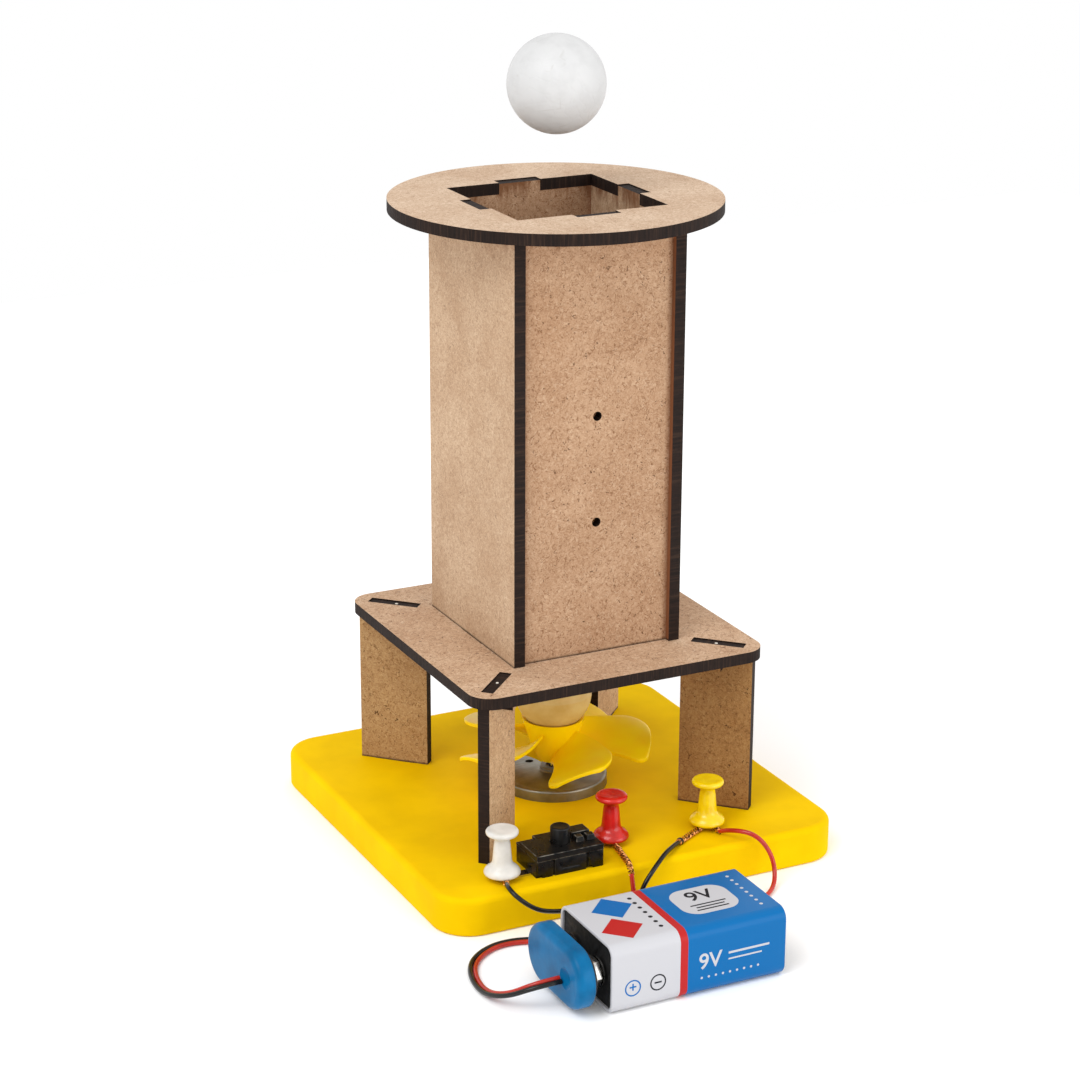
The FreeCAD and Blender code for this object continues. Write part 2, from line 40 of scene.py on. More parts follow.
print("frame loaded:", len(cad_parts), "nodes")


# small helpers

def hexToLinear(code):
    channels = [int(code[i:i + 2], 16) / 255 for i in (1, 3, 5)]
    return [c / 12.92 if c <= 0.04045 else ((c + 0.055) / 1.055) ** 2.4 for c in channels] + [1.0]


def newMaterial(name):
    mat = bpy.data.materials.new(name)
    mat.use_nodes = True
    return mat


def setInput(node, key, value):
    # an output socket is linked; a plain value or a hex colour goes on the input itself
    if isinstance(value, bpy.types.NodeSocket):
        node.id_data.links.new(value, node.inputs[key])
    else:
        node.inputs[key].default_value = hexToLinear(value) if isinstance(value, str) else value


def addNode(kind, inputs, **settings):
    # a new node joins the tree of its first linked input
    tree = next(value.id_data for value in inputs.values() if isinstance(value, bpy.types.NodeSocket))
    node = tree.nodes.new("ShaderNode" + kind)
    for key, value in settings.items():
        setattr(node, key, value)
    for key, value in inputs.items():
        setInput(node, key, value)
    return node


def feed(mat, **inputs):
    # shader input names are written with underscores for spaces
    for name, value in inputs.items():
        setInput(mat.node_tree.nodes["Principled BSDF"], name.replace("_", " "), value)
    return mat


def colourRamp(factor, stops, interpolation="LINEAR"):
    node = addNode("ValToRGB", {"Fac": factor})
    ramp = node.color_ramp
    ramp.interpolation = interpolation
    while len(ramp.elements) < len(stops):
        ramp.elements.new(0.5)
    for element, (position, code) in zip(ramp.elements, stops):
        element.position = position
        element.color = hexToLinear(code)
    return node.outputs["Color"]


def coordinate(mat, kind="Object"):
    return mat.node_tree.nodes.new("ShaderNodeTexCoord").outputs[kind]


def mapped(vector, **inputs):
    return addNode("Mapping", {"Vector": vector, **inputs}).outputs["Vector"]


def vectorMath(operation, inputs, output="Vector"):
    return addNode("VectorMath", inputs, operation=operation).outputs[output]


def noiseAt(vector, sizeMm, detail=3.0, roughness=0.5, distortion=0.0):
    return addNode("TexNoise", {"Vector": vector, "Scale": 1 / (sizeMm * mm), "Detail": detail,
                                "Roughness": roughness, "Distortion": distortion}).outputs["Fac"]


def cellEdges(vector, sizeMm):
    return addNode("TexVoronoi", {"Vector": vector, "Scale": 1 / (sizeMm * mm)},
                   feature="DISTANCE_TO_EDGE").outputs["Distance"]


def calc(operation, *values):
    return addNode("Math", dict(enumerate(values)), operation=operation).outputs[0]


def remap(value, fromLow, fromHigh, toLow=0.0, toHigh=1.0):
    return addNode("MapRange", {"Value": value, "From Min": fromLow, "From Max": fromHigh, "To Min": toLow,
                                "To Max": toHigh}).outputs["Result"]


def mixColour(factor, first, second, blend="MIX"):
    return addNode("Mix", {0: factor, 6: first, 7: second}, data_type="RGBA", blend_type=blend).outputs[2]


def bumpFrom(height, distanceMm, strength, before=None):
    inputs = {"Height": height, "Distance": distanceMm * mm, "Strength": strength}
    if before is not None:
        inputs["Normal"] = before
    return addNode("Bump", inputs).outputs["Normal"]


def mottledMaterial(name, tones, mottleMm, skinMm, riseMm, strength, mottleDetail=2.0, skinDetail=2.0,
                    stops=(0.35, 0.65), **sockets):
    # two close tones in soft patches, and a fine uneven skin
    mat = newMaterial(name)
    point = coordinate(mat)
    return feed(mat, Base_Color=colourRamp(noiseAt(point, mottleMm, mottleDetail), list(zip(stops, tones))),
                Normal=bumpFrom(noiseAt(point, skinMm, skinDetail), riseMm, strength), **sockets)


def shift(x, y, z):
    return Matrix.Translation(Vector((x, y, z)) * mm)


def turned(angle, axis):
    return Matrix.Rotation(radians(angle), 4, axis)


def linkObject(name, data):
    made = bpy.data.objects.new(name, data)
    bpy.context.scene.collection.objects.link(made)
    return made


def looseObject(name, bm):
    mesh = bpy.data.meshes.new(name)
    bm.to_mesh(mesh)
    bm.free()
    return linkObject(name, mesh)


def meshCopy(mesh):
    bm = bmesh.new()
    bm.from_mesh(mesh)
    return bm


def joinInto(bm, other, place=None):
    if place is not None:
        bmesh.ops.transform(other, matrix=place, verts=other.verts)
    mesh = bpy.data.meshes.new("joined")
    other.to_mesh(mesh)
    other.free()
    bm.from_mesh(mesh)
    bpy.data.meshes.remove(mesh)


def evaluatedMesh(thing):
    bpy.context.view_layer.update()
    return bpy.data.meshes.new_from_object(thing.evaluated_get(bpy.context.evaluated_depsgraph_get()))


def shade(mesh, smoothAngle):
    mesh.shade_smooth()
    mesh.set_sharp_from_angle(angle=radians(smoothAngle))


def attach(piece, node=None, body="stand"):
    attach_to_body(piece, body)
    if node:
        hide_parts(node)
    return piece


def newPiece(name, bm, materials, node=None, body="stand", smoothAngle=35):
    piece = looseObject(name, bm)
    shade(piece.data, smoothAngle)
    for material in materials if isinstance(materials, list) else [materials]:
        piece.data.materials.append(material)
    return attach(piece, node, body)


def mergeAndTurnOut(bm):
    bmesh.ops.remove_doubles(bm, verts=bm.verts, dist=0.002 * mm)
    bmesh.ops.recalc_face_normals(bm, faces=bm.faces)


def bevelEdges(bm, edges, widthMm, segments, clamp=False):
    return bmesh.ops.bevel(bm, geom=edges, offset=widthMm * mm, offset_type="OFFSET", affect="EDGES",
                           segments=segments, profile=0.5, material=-1, clamp_overlap=clamp)["faces"]


def softenEdges(bm, widthMm, segments=2, minAngle=30, chosen=None, edgeMaterial=None):
    edges = [e for e in bm.edges if len(e.link_faces) == 2 and e.calc_face_angle(0) > radians(minAngle)
             and (chosen is None or chosen(e))]
    faces = bevelEdges(bm, edges, widthMm, segments, True)
    if edgeMaterial is not None:
        for face in faces:
            face.material_index = edgeMaterial


def edgesAlong(bm, axis, overMm):
    # edges whose ends lie further apart than this along the axis
    return [e for e in bm.edges if abs(e.verts[0].co[axis] - e.verts[1].co[axis]) > overMm * mm]


def sinkFace(bm, face, rimMm, moveMm):
    # leaves a rim round a flat end and moves what lies inside it along X
    bmesh.ops.inset_individual(bm, faces=[face], thickness=rimMm * mm)
    made = bmesh.ops.extrude_discrete_faces(bm, faces=[face])["faces"]
    bmesh.ops.translate(bm, vec=(moveMm * mm, 0, 0), verts=made[0].verts[:])


def arcPoints(centre, radius, startDeg, endDeg, steps):
    angles = [radians(startDeg + (endDeg - startDeg) * i / steps) for i in range(steps + 1)]
    return [(centre[0] + radius * cos(a), centre[1] + radius * sin(a)) for a in angles]


def lathe(profile, centre, axis=(0, 0, 1), steps=64, closed=False):
    # profile: (radius, height) in mm about an upright axis, then laid along the given axis at the centre
    bm = bmesh.new()
    verts = [bm.verts.new((radius * mm, 0, height * mm)) for radius, height in profile]
    pairs = list(zip(verts, verts[1:])) + ([(verts[-1], verts[0])] if closed else [])
    edges = [bm.edges.new(pair) for pair in pairs]
    bmesh.ops.spin(bm, geom=verts + edges, cent=(0, 0, 0), axis=(0, 0, 1), angle=tau, steps=steps,
                   use_merge=True)
    mergeAndTurnOut(bm)
    turn = Vector((0, 0, 1)).rotation_difference(Vector(axis)).to_matrix().to_4x4()
    bmesh.ops.transform(bm, matrix=shift(*centre) @ turn, verts=bm.verts)
    return bm


def block(low, high, bm=None):
    bm = bm or bmesh.new()
    size = [(b - a) * mm for a, b in zip(low, high)]
    place = shift(*[(a + b) / 2 for a, b in zip(low, high)]) @ Matrix.Diagonal(size + [1.0])
    bmesh.ops.create_cube(bm, size=1.0, matrix=place)
    return bm


def cylinder(radius, bottom, top, x, y, bm=None, segments=48):
    bm = bm or bmesh.new()
    bmesh.ops.create_cone(bm, cap_ends=True, segments=segments, radius1=radius * mm, radius2=radius * mm,
                          depth=(top - bottom) * mm, matrix=shift(x, y, (top + bottom) / 2))
    return bm


def cutAway(piece, cutterBm, smoothAngle=35):
    cutter = looseObject("cutter", cutterBm)
    cut = piece.modifiers.new("cut", "BOOLEAN")
    cut.operation = "DIFFERENCE"
    cut.solver = "EXACT"
    cut.object = cutter
    result = evaluatedMesh(piece)
    piece.modifiers.clear()
    piece.data = result
    shade(result, smoothAngle)
    bpy.data.objects.remove(cutter)


def mergedCopy(node):
    bm = meshCopy(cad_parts[node].data)
    bmesh.ops.remove_doubles(bm, verts=bm.verts, dist=0.0005 * mm)
    bmesh.ops.dissolve_limit(bm, angle_limit=radians(0.8), use_dissolve_boundaries=False,
                             verts=bm.verts, edges=bm.edges)
    return bm


def tubeCurve(name, radius, roundness, material):
    curve = bpy.data.curves.new(name, "CURVE")
    curve.dimensions = "3D"
    curve.bevel_depth = radius * mm
    curve.bevel_resolution = roundness
    curve.use_fill_caps = True
    curve.materials.append(material)
    return curve


def addSpline(curve, places):
    spline = curve.splines.new("NURBS")
    spline.points.add(len(places) - 1)
    for point, place in zip(spline.points, places):
        point.co = [c * mm for c in place] + [1.0]
    spline.order_u = 3
    spline.use_endpoint_u = True


def dress(nodeNames, material):
    for node in nodeNames:
        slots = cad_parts[node].data.materials
        slots.clear()
        slots.append(material)


# camera: lens and place come from the corners seen in the photograph

photoCamera = {"at": (-307.6, -611.8, 315.1), "azimuth": -26.39, "elevation": 19.12, "roll": 0.22,
               "focalPixels": 2802.0, "framePixels": 1080.0, "sensor": 36.0}


def makeCamera():
    data = bpy.data.cameras.new("photoCamera")
    data.sensor_width = photoCamera["sensor"]
    data.lens = photoCamera["focalPixels"] / photoCamera["framePixels"] * photoCamera["sensor"]
    data.clip_start = 0.01
    data.clip_end = 20
    camera = linkObject("photoCamera", data)
    camera.matrix_world = (shift(*photoCamera["at"]) @ turned(photoCamera["azimuth"], "Z")
                           @ turned(90 - photoCamera["elevation"], "X") @ turned(photoCamera["roll"], "Z"))
    bpy.context.scene.camera = camera


makeCamera()
print("camera placed")


# floor and soft studio light

studio = {"floorHalf": 0.6, "floorDrop": 0.05, "floorHex": "#ffffff", "worldHex": "#ffffff", "worldStrength": 1.0,
          "target": (0.0, 0.0, 0.08),
          "lights": {"key": {"watts": 9.0, "size": 0.8, "at": (-0.85, -0.45, 1.15)},
                     "fill": {"watts": 6.5, "size": 1.0, "at": (0.65, -1.1, 0.3)}}}


def makeStudio():
    bm = bmesh.new()
    bmesh.ops.create_grid(bm, x_segments=1, y_segments=1, size=studio["floorHalf"],
                          matrix=shift(0, 0, -studio["floorDrop"]))
    floor = looseObject("floor", bm)
    # matte white paper: takes a soft contact shadow and no glare
    floor.data.materials.append(feed(newMaterial("matte_white_paper"), Base_Color=studio["floorHex"],
                                     Roughness=0.85, Specular_IOR_Level=0.15))
    world = bpy.data.worlds.new("studio")
    world.use_nodes = True
    background = world.node_tree.nodes["Background"]
    setInput(background, "Color", studio["worldHex"])
    setInput(background, "Strength", studio["worldStrength"])
    bpy.context.scene.world = world
    for name, light in studio["lights"].items():
        data = bpy.data.lights.new(name + "Light", "AREA")
        data.energy = light["watts"]
        data.size = light["size"]
        lamp = linkObject(name + "Light", data)
        lamp.location = light["at"]
        lamp.rotation_euler = (Vector(studio["target"]) - lamp.location).to_track_quat("-Z", "Y").to_euler()
    bpy.context.scene.view_settings.view_transform = "Standard"


makeStudio()
print("studio lit")


# wires

wire = {"diameter": 1.2, "roughness": 0.19, "black": ("#0b0a09", "#161412"), "red": ("#a3190f", "#c02a18"),
        "skinMm": 0.8, "mottleMm": 4.0, "specular": {"black": 0.35, "red": 0.5}}

wireRoutes = {
    "black_battery": [
        (-46.2, -97.0, 7.2), (-52.6, -97.0, 7.2), (-58.0, -91.5, 3.2), (-60.2, -83.0, 0.6),
        (-58.6, -72.5, 0.6), (-53.5, -65.0, 0.6), (-44.5, -61.2, 0.6), (-34.0, -64.6, 0.6),
        (-22.5, -69.4, 0.6), (-12.0, -69.8, 0.6), (-9.0, -64.6, 0.9), (-12.2, -59.4, 1.6),
        (-20.5, -59.2, 3.0), (-29.3, -60.0, 4.6), (-35.0, -61.4, 6.9), (-39.6, -60.4, 10.6),
        (-40.6, -56.2, 12.3), (-38.9, -52.6, 10.95)],
    "red_battery": [
        (-46.2, -95.9, 7.6), (-52.3, -95.75, 7.5), (-57.0, -90.9, 3.4), (-58.95, -83.0, 0.6),
        (-57.4, -73.1, 0.6), (-52.7, -66.1, 0.6), (-44.3, -62.4, 0.6), (-34.0, -66.2, 0.6),
        (-23.0, -72.0, 0.6), (-10.5, -74.4, 0.6), (3.0, -74.8, 0.6), (16.0, -73.0, 0.6),
        (26.0, -68.6, 0.6), (31.4, -63.6, 1.4), (32.2, -60.4, 7.2), (28.2, -58.8, 13.2),
        (24.0, -53.2, 13.0), (23.1, -49.0, 10.95)],
    "red_motor": [
        (-7.7, -40.5, 0.9), (-7.7, -61.2, 0.9), (-8.2, -61.4, 5.6), (-8.0, -59.6, 10.2)],
    "black_motor": [
        (-5.7, -43.0, 0.9), (-5.7, -59.6, 0.9), (-5.2, -60.0, 6.0), (-0.2, -58.7, 10.8),
        (5.5, -54.2, 11.9), (11.3, -49.6, 10.75)]}


def pvcMaterial(colour):
    # extruded PVC insulation: smooth, with one long soft highlight and a faintly uneven skin
    return mottledMaterial("extruded_pvc_" + colour, wire[colour], wire["mottleMm"], wire["skinMm"], 0.02, 0.2,
                           stops=(0.3, 0.7), Roughness=wire["roughness"], Specular_IOR_Level=wire["specular"][colour])


pvc = {colour: pvcMaterial(colour) for colour in ("black", "red")}


def makeWire(key):
    colour = key.split("_")[0]
    curve = tubeCurve("wire_" + key, wire["diameter"] / 2, 5, pvc[colour])
    curve.resolution_u = 14
    addSpline(curve, wireRoutes[key])
    return attach(linkObject("insulated_wire_" + key, curve), "wire_" + key)


wires = {key: makeWire(key) for key in wireRoutes}
print("wires laid")


# the laser-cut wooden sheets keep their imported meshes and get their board's finish

mdf = {"faceStops": [(0.3, "#9f8268"), (0.44, "#bda187"), (0.56, "#ceb59c"), (0.72, "#dfcbb5")],
       "charStops": [(0.3, "#150c08"), (0.55, "#22150f"), (0.75, "#35251b")],
       "fleck": "#50321d", "mottle": "#cdb59c", "darkFibre": "#835d3e", "paleFibre": "#efe0cc",
       "scorch": "#6d4223", "smokeAndShadow": "#7a4c30", "footCharAndShadow": "#22150f",
       "grainMm": 0.9, "fleckMm": 1.15, "mottleMm": 14.0, "streakMm": 0.45,
       "fibreMm": 2.3, "fibreWidth": 0.03, "fibreBreakMm": 1.3, "fibreFade": 0.08,
       "darkFrom": 0.46, "darkDepth": 0.85, "paleFrom": 0.48, "paleDepth": 0.4, "paleShiftMm": 40.0,
       "fleckFrom": 0.67, "fleckTo": 0.71, "fleckDepth": 0.85, "calm": {"sides": 0.5, "ring": 0.5},
       # in mm: where the smoke and painted shadow start and are full, the scorch's rise, the lower edges and the fade
       # of their line of char and painted shadow
       "sideSmokeAndShadow": (23.3, 23.5), "frontSmokeAndShadow": (18.9, 20.5), "frontSmokeAndShadowDepth": 0.6, "scorchRise": (150, 168),
       "panelFoot": 55, "legFoot": 10, "footFade": (0.1, 0.7),
       # tones multiply each sheet's colour: painted light and shade, lighter where a sheet faces the lamps, darker
       # where it faces away or stands in the plate's shade
       "tones": {"ring": "#ffffff", "plate": "#f6ede4", "front_and_back": "#e1d1c2", "sides": "#f1eae0",
                 "leg_front_left": "#fff4de", "leg_back_right": "#f0e4d0", "leg_back_left": "#d3c19c",
                 "leg_front_right": "#c1a678"}}


def fibreLines(point, shiftMm, low):
    # thin winding lines where a smooth field crosses its middle, broken up by a second field
    moved = mapped(point, Location=(shiftMm * mm,) * 3)
    level = calc("SUBTRACT", noiseAt(moved, mdf["fibreMm"], 2.0, 0.6, 1.2), 0.5)
    line = remap(calc("ABSOLUTE", level), 0.0, mdf["fibreWidth"], 1.0, 0.0)
    gaps = remap(noiseAt(moved, mdf["fibreBreakMm"], 1.0), low, low + mdf["fibreFade"])
    return calc("MULTIPLY", line, gaps)


def panelStainsAndShadow(name, face, point, split, facing):
    # near the upright joints the wood is darkened: partly smoke from the cutter, partly painted shadow, as a band on
    # the front and back panels towards their side edges and a thin line on the side panels' inner faces
    if name == "sides":
        start, full = mdf["sideSmokeAndShadow"]
        inward = calc("LESS_THAN", calc("MULTIPLY", split["X"], facing), 0.0)
        smokeAndShadow = calc("MULTIPLY", inward, remap(calc("ABSOLUTE", split["Y"]), start * mm, full * mm))
    else:
        start, full = mdf["frontSmokeAndShadow"]
        smokeAndShadow = remap(calc("ABSOLUTE", split["X"]), start * mm, full * mm, 0.0, mdf["frontSmokeAndShadowDepth"])
    face = mixColour(smokeAndShadow, face, mdf["smokeAndShadow"])
    # a brown scorch runs down from the upper edge
    start, end = mdf["scorchRise"]
    drips = noiseAt(mapped(point, Scale=(1.0, 1.0, 0.22)), 3.2, 4.0, 0.6)
    nearTop = remap(split["Z"], start * mm, end * mm)
    stain = remap(calc("MULTIPLY", drips, nearTop), 0.34, 0.52, 0.0, 0.85)
    return mixColour(stain, face, mdf["scorch"])


def mdfMaterial(name, acrossDeg=None, foot=None):
    # medium-density fibreboard, laser cut: pale faces of pressed fibre with dark flecks,
    # and cut edges charred dark brown with fine lines across the sheet
    mat = newMaterial("laser_cut_mdf_" + name)
    point, normal = coordinate(mat), coordinate(mat, "Normal")
    across = (0, 0, 1)
    if acrossDeg is not None:
        across = (cos(radians(acrossDeg)), sin(radians(acrossDeg)), 0)
    facing = vectorMath("DOT_PRODUCT", {0: normal, 1: across}, "Value")
    isEdge = calc("LESS_THAN", calc("ABSOLUTE", facing), 0.7)
    grain = noiseAt(point, mdf["grainMm"], 5.0, 0.75, 1.6)
    fleckNoise = noiseAt(point, mdf["fleckMm"], 2.0, 0.5, 1.6)
    mottle = remap(noiseAt(point, mdf["mottleMm"], 3.0), 0.4, 0.65, 0.0, 0.3)
    calm = mdf["calm"].get(name, 1.0)
    face = mixColour(mottle, colourRamp(grain, mdf["faceStops"]), mdf["mottle"], "MULTIPLY")
    dark = calc("MULTIPLY", fibreLines(point, 0.0, mdf["darkFrom"]), mdf["darkDepth"] * calm)
    face = mixColour(dark, face, mdf["darkFibre"])
    pale = calc("MULTIPLY", fibreLines(point, mdf["paleShiftMm"], mdf["paleFrom"]), mdf["paleDepth"] * calm)
    face = mixColour(pale, face, mdf["paleFibre"])
    flecks = remap(fleckNoise, mdf["fleckFrom"], mdf["fleckTo"], 0.0, mdf["fleckDepth"] * calm)
    face = mixColour(flecks, face, mdf["fleck"])
    # painted light and shade: each piece's tone lightens or darkens it by how the lamps reach it
    face = mixColour(1.0, face, mdf["tones"][name], "MULTIPLY")
    if foot is not None:
        split = addNode("SeparateXYZ", {0: point}).outputs
        if foot == mdf["panelFoot"]:
            face = panelStainsAndShadow(name, face, point, split, facing)
        # a thin dark line along the lower edge: partly the cutter's char, partly painted contact shadow where the
        # sheet stands on the plate or the board
        full, gone = mdf["footFade"]
        line = remap(split["Z"], (foot + full) * mm, (foot + gone) * mm, 0.85, 0.0)
        face = mixColour(line, face, mdf["footCharAndShadow"])
    offset = vectorMath("PROJECT", {0: point, 1: across})
    small = vectorMath("SCALE", {0: offset, "Scale": 0.95})
    streaks = noiseAt(vectorMath("SUBTRACT", {0: point, 1: small}), mdf["streakMm"], 2.0)
    edge = colourRamp(streaks, mdf["charStops"])
    bump = bumpFrom(grain, 0.06, 0.35)
    return feed(mat, Base_Color=mixColour(isEdge, face, edge), Normal=bumpFrom(streaks, 0.05, 0.3, bump),
                Roughness=remap(grain, 0.3, 0.7, 0.62, 0.82), Specular_IOR_Level=0.18)


dress(["table_plate"], mdfMaterial("plate"))
dress(["top_ring"], mdfMaterial("ring"))
dress(["tower_panel_front", "tower_panel_back"], mdfMaterial("front_and_back", 90, mdf["panelFoot"]))
dress(["tower_panel_left", "tower_panel_right"], mdfMaterial("sides", 0, mdf["panelFoot"]))
for corner, across in (("back_right", 135), ("front_left", 135), ("back_left", 45), ("front_right", 45)):
    dress(["leg_" + corner, "leg_peg_" + corner], mdfMaterial("leg_" + corner, across, mdf["legFoot"]))
print("sheets dressed")


# dried glue where the legs' tabs sit in the plate

glue = {"reach": 44.0, "height": 54.72, "radius": 0.36, "long": 1.25, "flat": 0.5, "colour": "#d8d2c6"}


def makeGlue():
    # dried white wood glue: smooth, a little translucent
    mat = newMaterial("dried_wood_glue")
    feed(mat, Normal=bumpFrom(noiseAt(coordinate(mat), 0.6, 2.0), 0.05, 0.4), Base_Color=glue["colour"],
         Roughness=0.4)
    bm = bmesh.new()
    for angle in (45, 135, 225, 315):
        place = (turned(angle, "Z") @ shift(glue["reach"], 0, glue["height"])
                 @ Matrix.Diagonal((glue["long"], 1.0, glue["flat"], 1.0)))
        bmesh.ops.create_icosphere(bm, subdivisions=3, radius=glue["radius"] * mm, matrix=place)
    newPiece("dried_glue_dots", bm, mat, smoothAngle=80)


makeGlue()


# foam base board: closed-cell EVA foam, moulded, an even strong yellow with a soft sheen and the finest grain

foamBoard = {"tones": ("#e2b600", "#edc100"), "cellMm": 0.6, "mottleMm": 14.0}

dress(["base_board"], mottledMaterial("moulded_eva_foam", foamBoard["tones"], foamBoard["mottleMm"],
                                      foamBoard["cellMm"], 0.04, 0.3, mottleDetail=3.0, Roughness=0.7,
                                      Specular_IOR_Level=0.03))


# floating ball

ball = {"centre": (0.0, 0.0, 196.0), "radius": 12.3, "beadMm": 3.4, "seamMm": 0.05, "seamWidth": 0.1,
        "light": "#c5c5c5", "dark": "#bfbfbf", "crack": "#b0aeaa", "crackMm": 6.0}


def ballMaterial():
    # moulded expanded polystyrene: matt white beads pressed together, with faint hollow seams between
    mat = newMaterial("expanded_polystyrene")
    point = coordinate(mat)
    seams = cellEdges(point, ball["beadMm"])
    skin = colourRamp(noiseAt(point, 4.0, 3.0), [(0.3, ball["dark"]), (0.55, ball["light"])])
    where = remap(noiseAt(point, 5.0, 2.0), 0.56, 0.62)
    lines = remap(cellEdges(point, ball["crackMm"]), 0.0, 0.03, 0.4, 0.0)
    return feed(mat, Base_Color=mixColour(calc("MULTIPLY", lines, where), skin, ball["crack"]),
                Normal=bumpFrom(noiseAt(point, 0.7, 3.0), 0.02, 0.25, bumpFrom(seams, 0.05, 0.15)),
                Roughness=0.5, Subsurface_Weight=0.1, Subsurface_Radius=[1.0 * mm] * 3)


def makeBall():
    bm = bmesh.new()
    bmesh.ops.create_icosphere(bm, subdivisions=7, radius=ball["radius"] * mm)
    for vert in bm.verts:
        near = noise.voronoi(vert.co / (ball["beadMm"] * mm))[0]
        seam = max(0.0, 1 - (near[1] - near[0]) / ball["seamWidth"])
        vert.co *= 1 - seam * seam * ball["seamMm"] / ball["radius"]
    bmesh.ops.transform(bm, matrix=shift(*ball["centre"]), verts=bm.verts)
    newPiece("polystyrene_ball", bm, ballMaterial(), "foam_ball", "ball", 80)


makeBall()
print("board and ball done")


# motor

motor = {"radius": 14.4, "bottom": 3.2, "top": 13.0, "domeRise": 0.6, "bossRadius": 3.5, "bossTop": 14.6,
         "boreRadius": 1.05, "rimRound": 0.7, "ventReach": 8.0, "ventRadius": 1.1, "ventDepth": 2.2,
         "ventAngles": (115.0, 295.0), "recessRadius": 1.9, "recessDepth": 0.5, "light": "#8f8b7e",
         "dark": "#7c786b"}


def plateMetal(name, light, dark, roughness, brushMm):
    # thin rolled steel with a bright plating: soft broken reflections along the rolling marks
    mat = newMaterial(name)
    point = coordinate(mat)
    marks = noiseAt(mapped(point, Scale=(0.15, 1.0, 1.0)), brushMm, 4.0)
    return feed(mat, Base_Color=colourRamp(noiseAt(point, brushMm * 8, 3.0), [(0.35, dark), (0.65, light)]),
                Roughness=remap(marks, 0.3, 0.7, roughness * 0.75, roughness * 1.3),
                Normal=bumpFrom(marks, 0.005, 0.15), Metallic=1.0)


canMetal = plateMetal("nickel_plated_steel", motor["light"], motor["dark"], 0.38, 0.5)
brightSteel = plateMetal("polished_steel", "#d9d7d2", "#bfbcb6", 0.18, 0.3)
darkMetal = plateMetal("ferrite_grey", "#55504c", "#3c3835", 0.55, 0.6)


def makeMotorCan():
    # drawn can with a rolled rim, a gently domed top, a bearing boss and two round vents
    radius, bottom, top, rim = [motor[key] for key in ("radius", "bottom", "top", "rimRound")]
    bore, boss, bossTop, recess = [motor[key] for key in ("boreRadius", "bossRadius", "bossTop", "recessRadius")]
    dome, seat = top + motor["domeRise"], bossTop - motor["recessDepth"]
    profile = [(bore, bottom), (radius, bottom), (radius, top - rim)]
    profile += arcPoints((radius - rim, top - rim), rim, 15, 90, 5)
    profile += [(radius - 2.0, top - 0.05), (radius - 2.4, top + 0.05), (boss + 1.2, top + motor["domeRise"] * 0.9),
                (boss + 0.3, dome), (boss, dome + 0.3), (boss, bossTop - 0.25), (boss - 0.25, bossTop),
                (recess, bossTop), (recess, seat), (bore, seat)]
    piece = newPiece("motor_can_drawn", lathe(profile, (0, 0, 0), steps=96, closed=True), canMetal,
                     "motor_can", smoothAngle=40)
    vents = bmesh.new()
    for angle in motor["ventAngles"]:
        x, y = [motor["ventReach"] * turn(radians(angle)) for turn in (cos, sin)]
        cylinder(motor["ventRadius"], top - motor["ventDepth"], bossTop + 1, x, y, vents, 24)
    cutAway(piece, vents, 40)


makeMotorCan()
dress(["motor_end_cap", "motor_magnet", "motor_armature"], darkMetal)
dress(["motor_shaft", "motor_terminals", "pin_needle_white", "pin_needle_red", "pin_needle_yellow"], brightSteel)
print("motor done")


# fan

fan = {"radius": 26.0, "blades": 5, "firstAngle": -27.3, "tipPitch": 15.0, "rootPitch": 75.0, "thickness": 1.0,
       "camber": 0.9, "height": 22.5, "rootDrop": 1.3, "reaches": (2.6, 13.4, 23.86), "lead": (-4.6, -4.2, -10.6),
       "trail": (4.6, 9.2, 10.6), "leadRound": 3.8, "trailRound": 5.6, "edgeRound": 0.28,
       "hubBottom": 16.8, "hubTop": 28.6, "hubFoot": 4.2, "hubRim": 8.3, "lip": 0.5, "seatRadius": 6.2,
       # edge: the rim's paler colour, a painted highlight along the thin edges
       "dark": "#fed000", "light": "#ffda00", "edge": "#ffdd0a"}


def fanMaterial(name, dark, light, weight):
    # injection-moulded polypropylene: glossy, a little light passes through; the rim's copy is paler where it is thin,
    # a painted highlight
    return mottledMaterial(name, (dark, light), 7.0, 1.4, 0.02, 0.25, Roughness=0.32, Specular_IOR_Level=0.25,
                           Subsurface_Weight=weight, Subsurface_Radius=(1.0 * mm, 0.7 * mm, 0.2 * mm))


def curveThrough(sides, x):
    # the parabola through a blade edge's three known places
    total = 0.0
    for at, share in zip(fan["reaches"], sides):
        for other in [reach for reach in fan["reaches"] if reach != at]:
            share *= (x - other) / (at - other)
        total += share
    return total


def cornerLoss(x, size):
    step = min(1.0, max(0.0, (x - (fan["reaches"][-1] - size)) / size))
    return size * (1 - sqrt(1 - step * step))


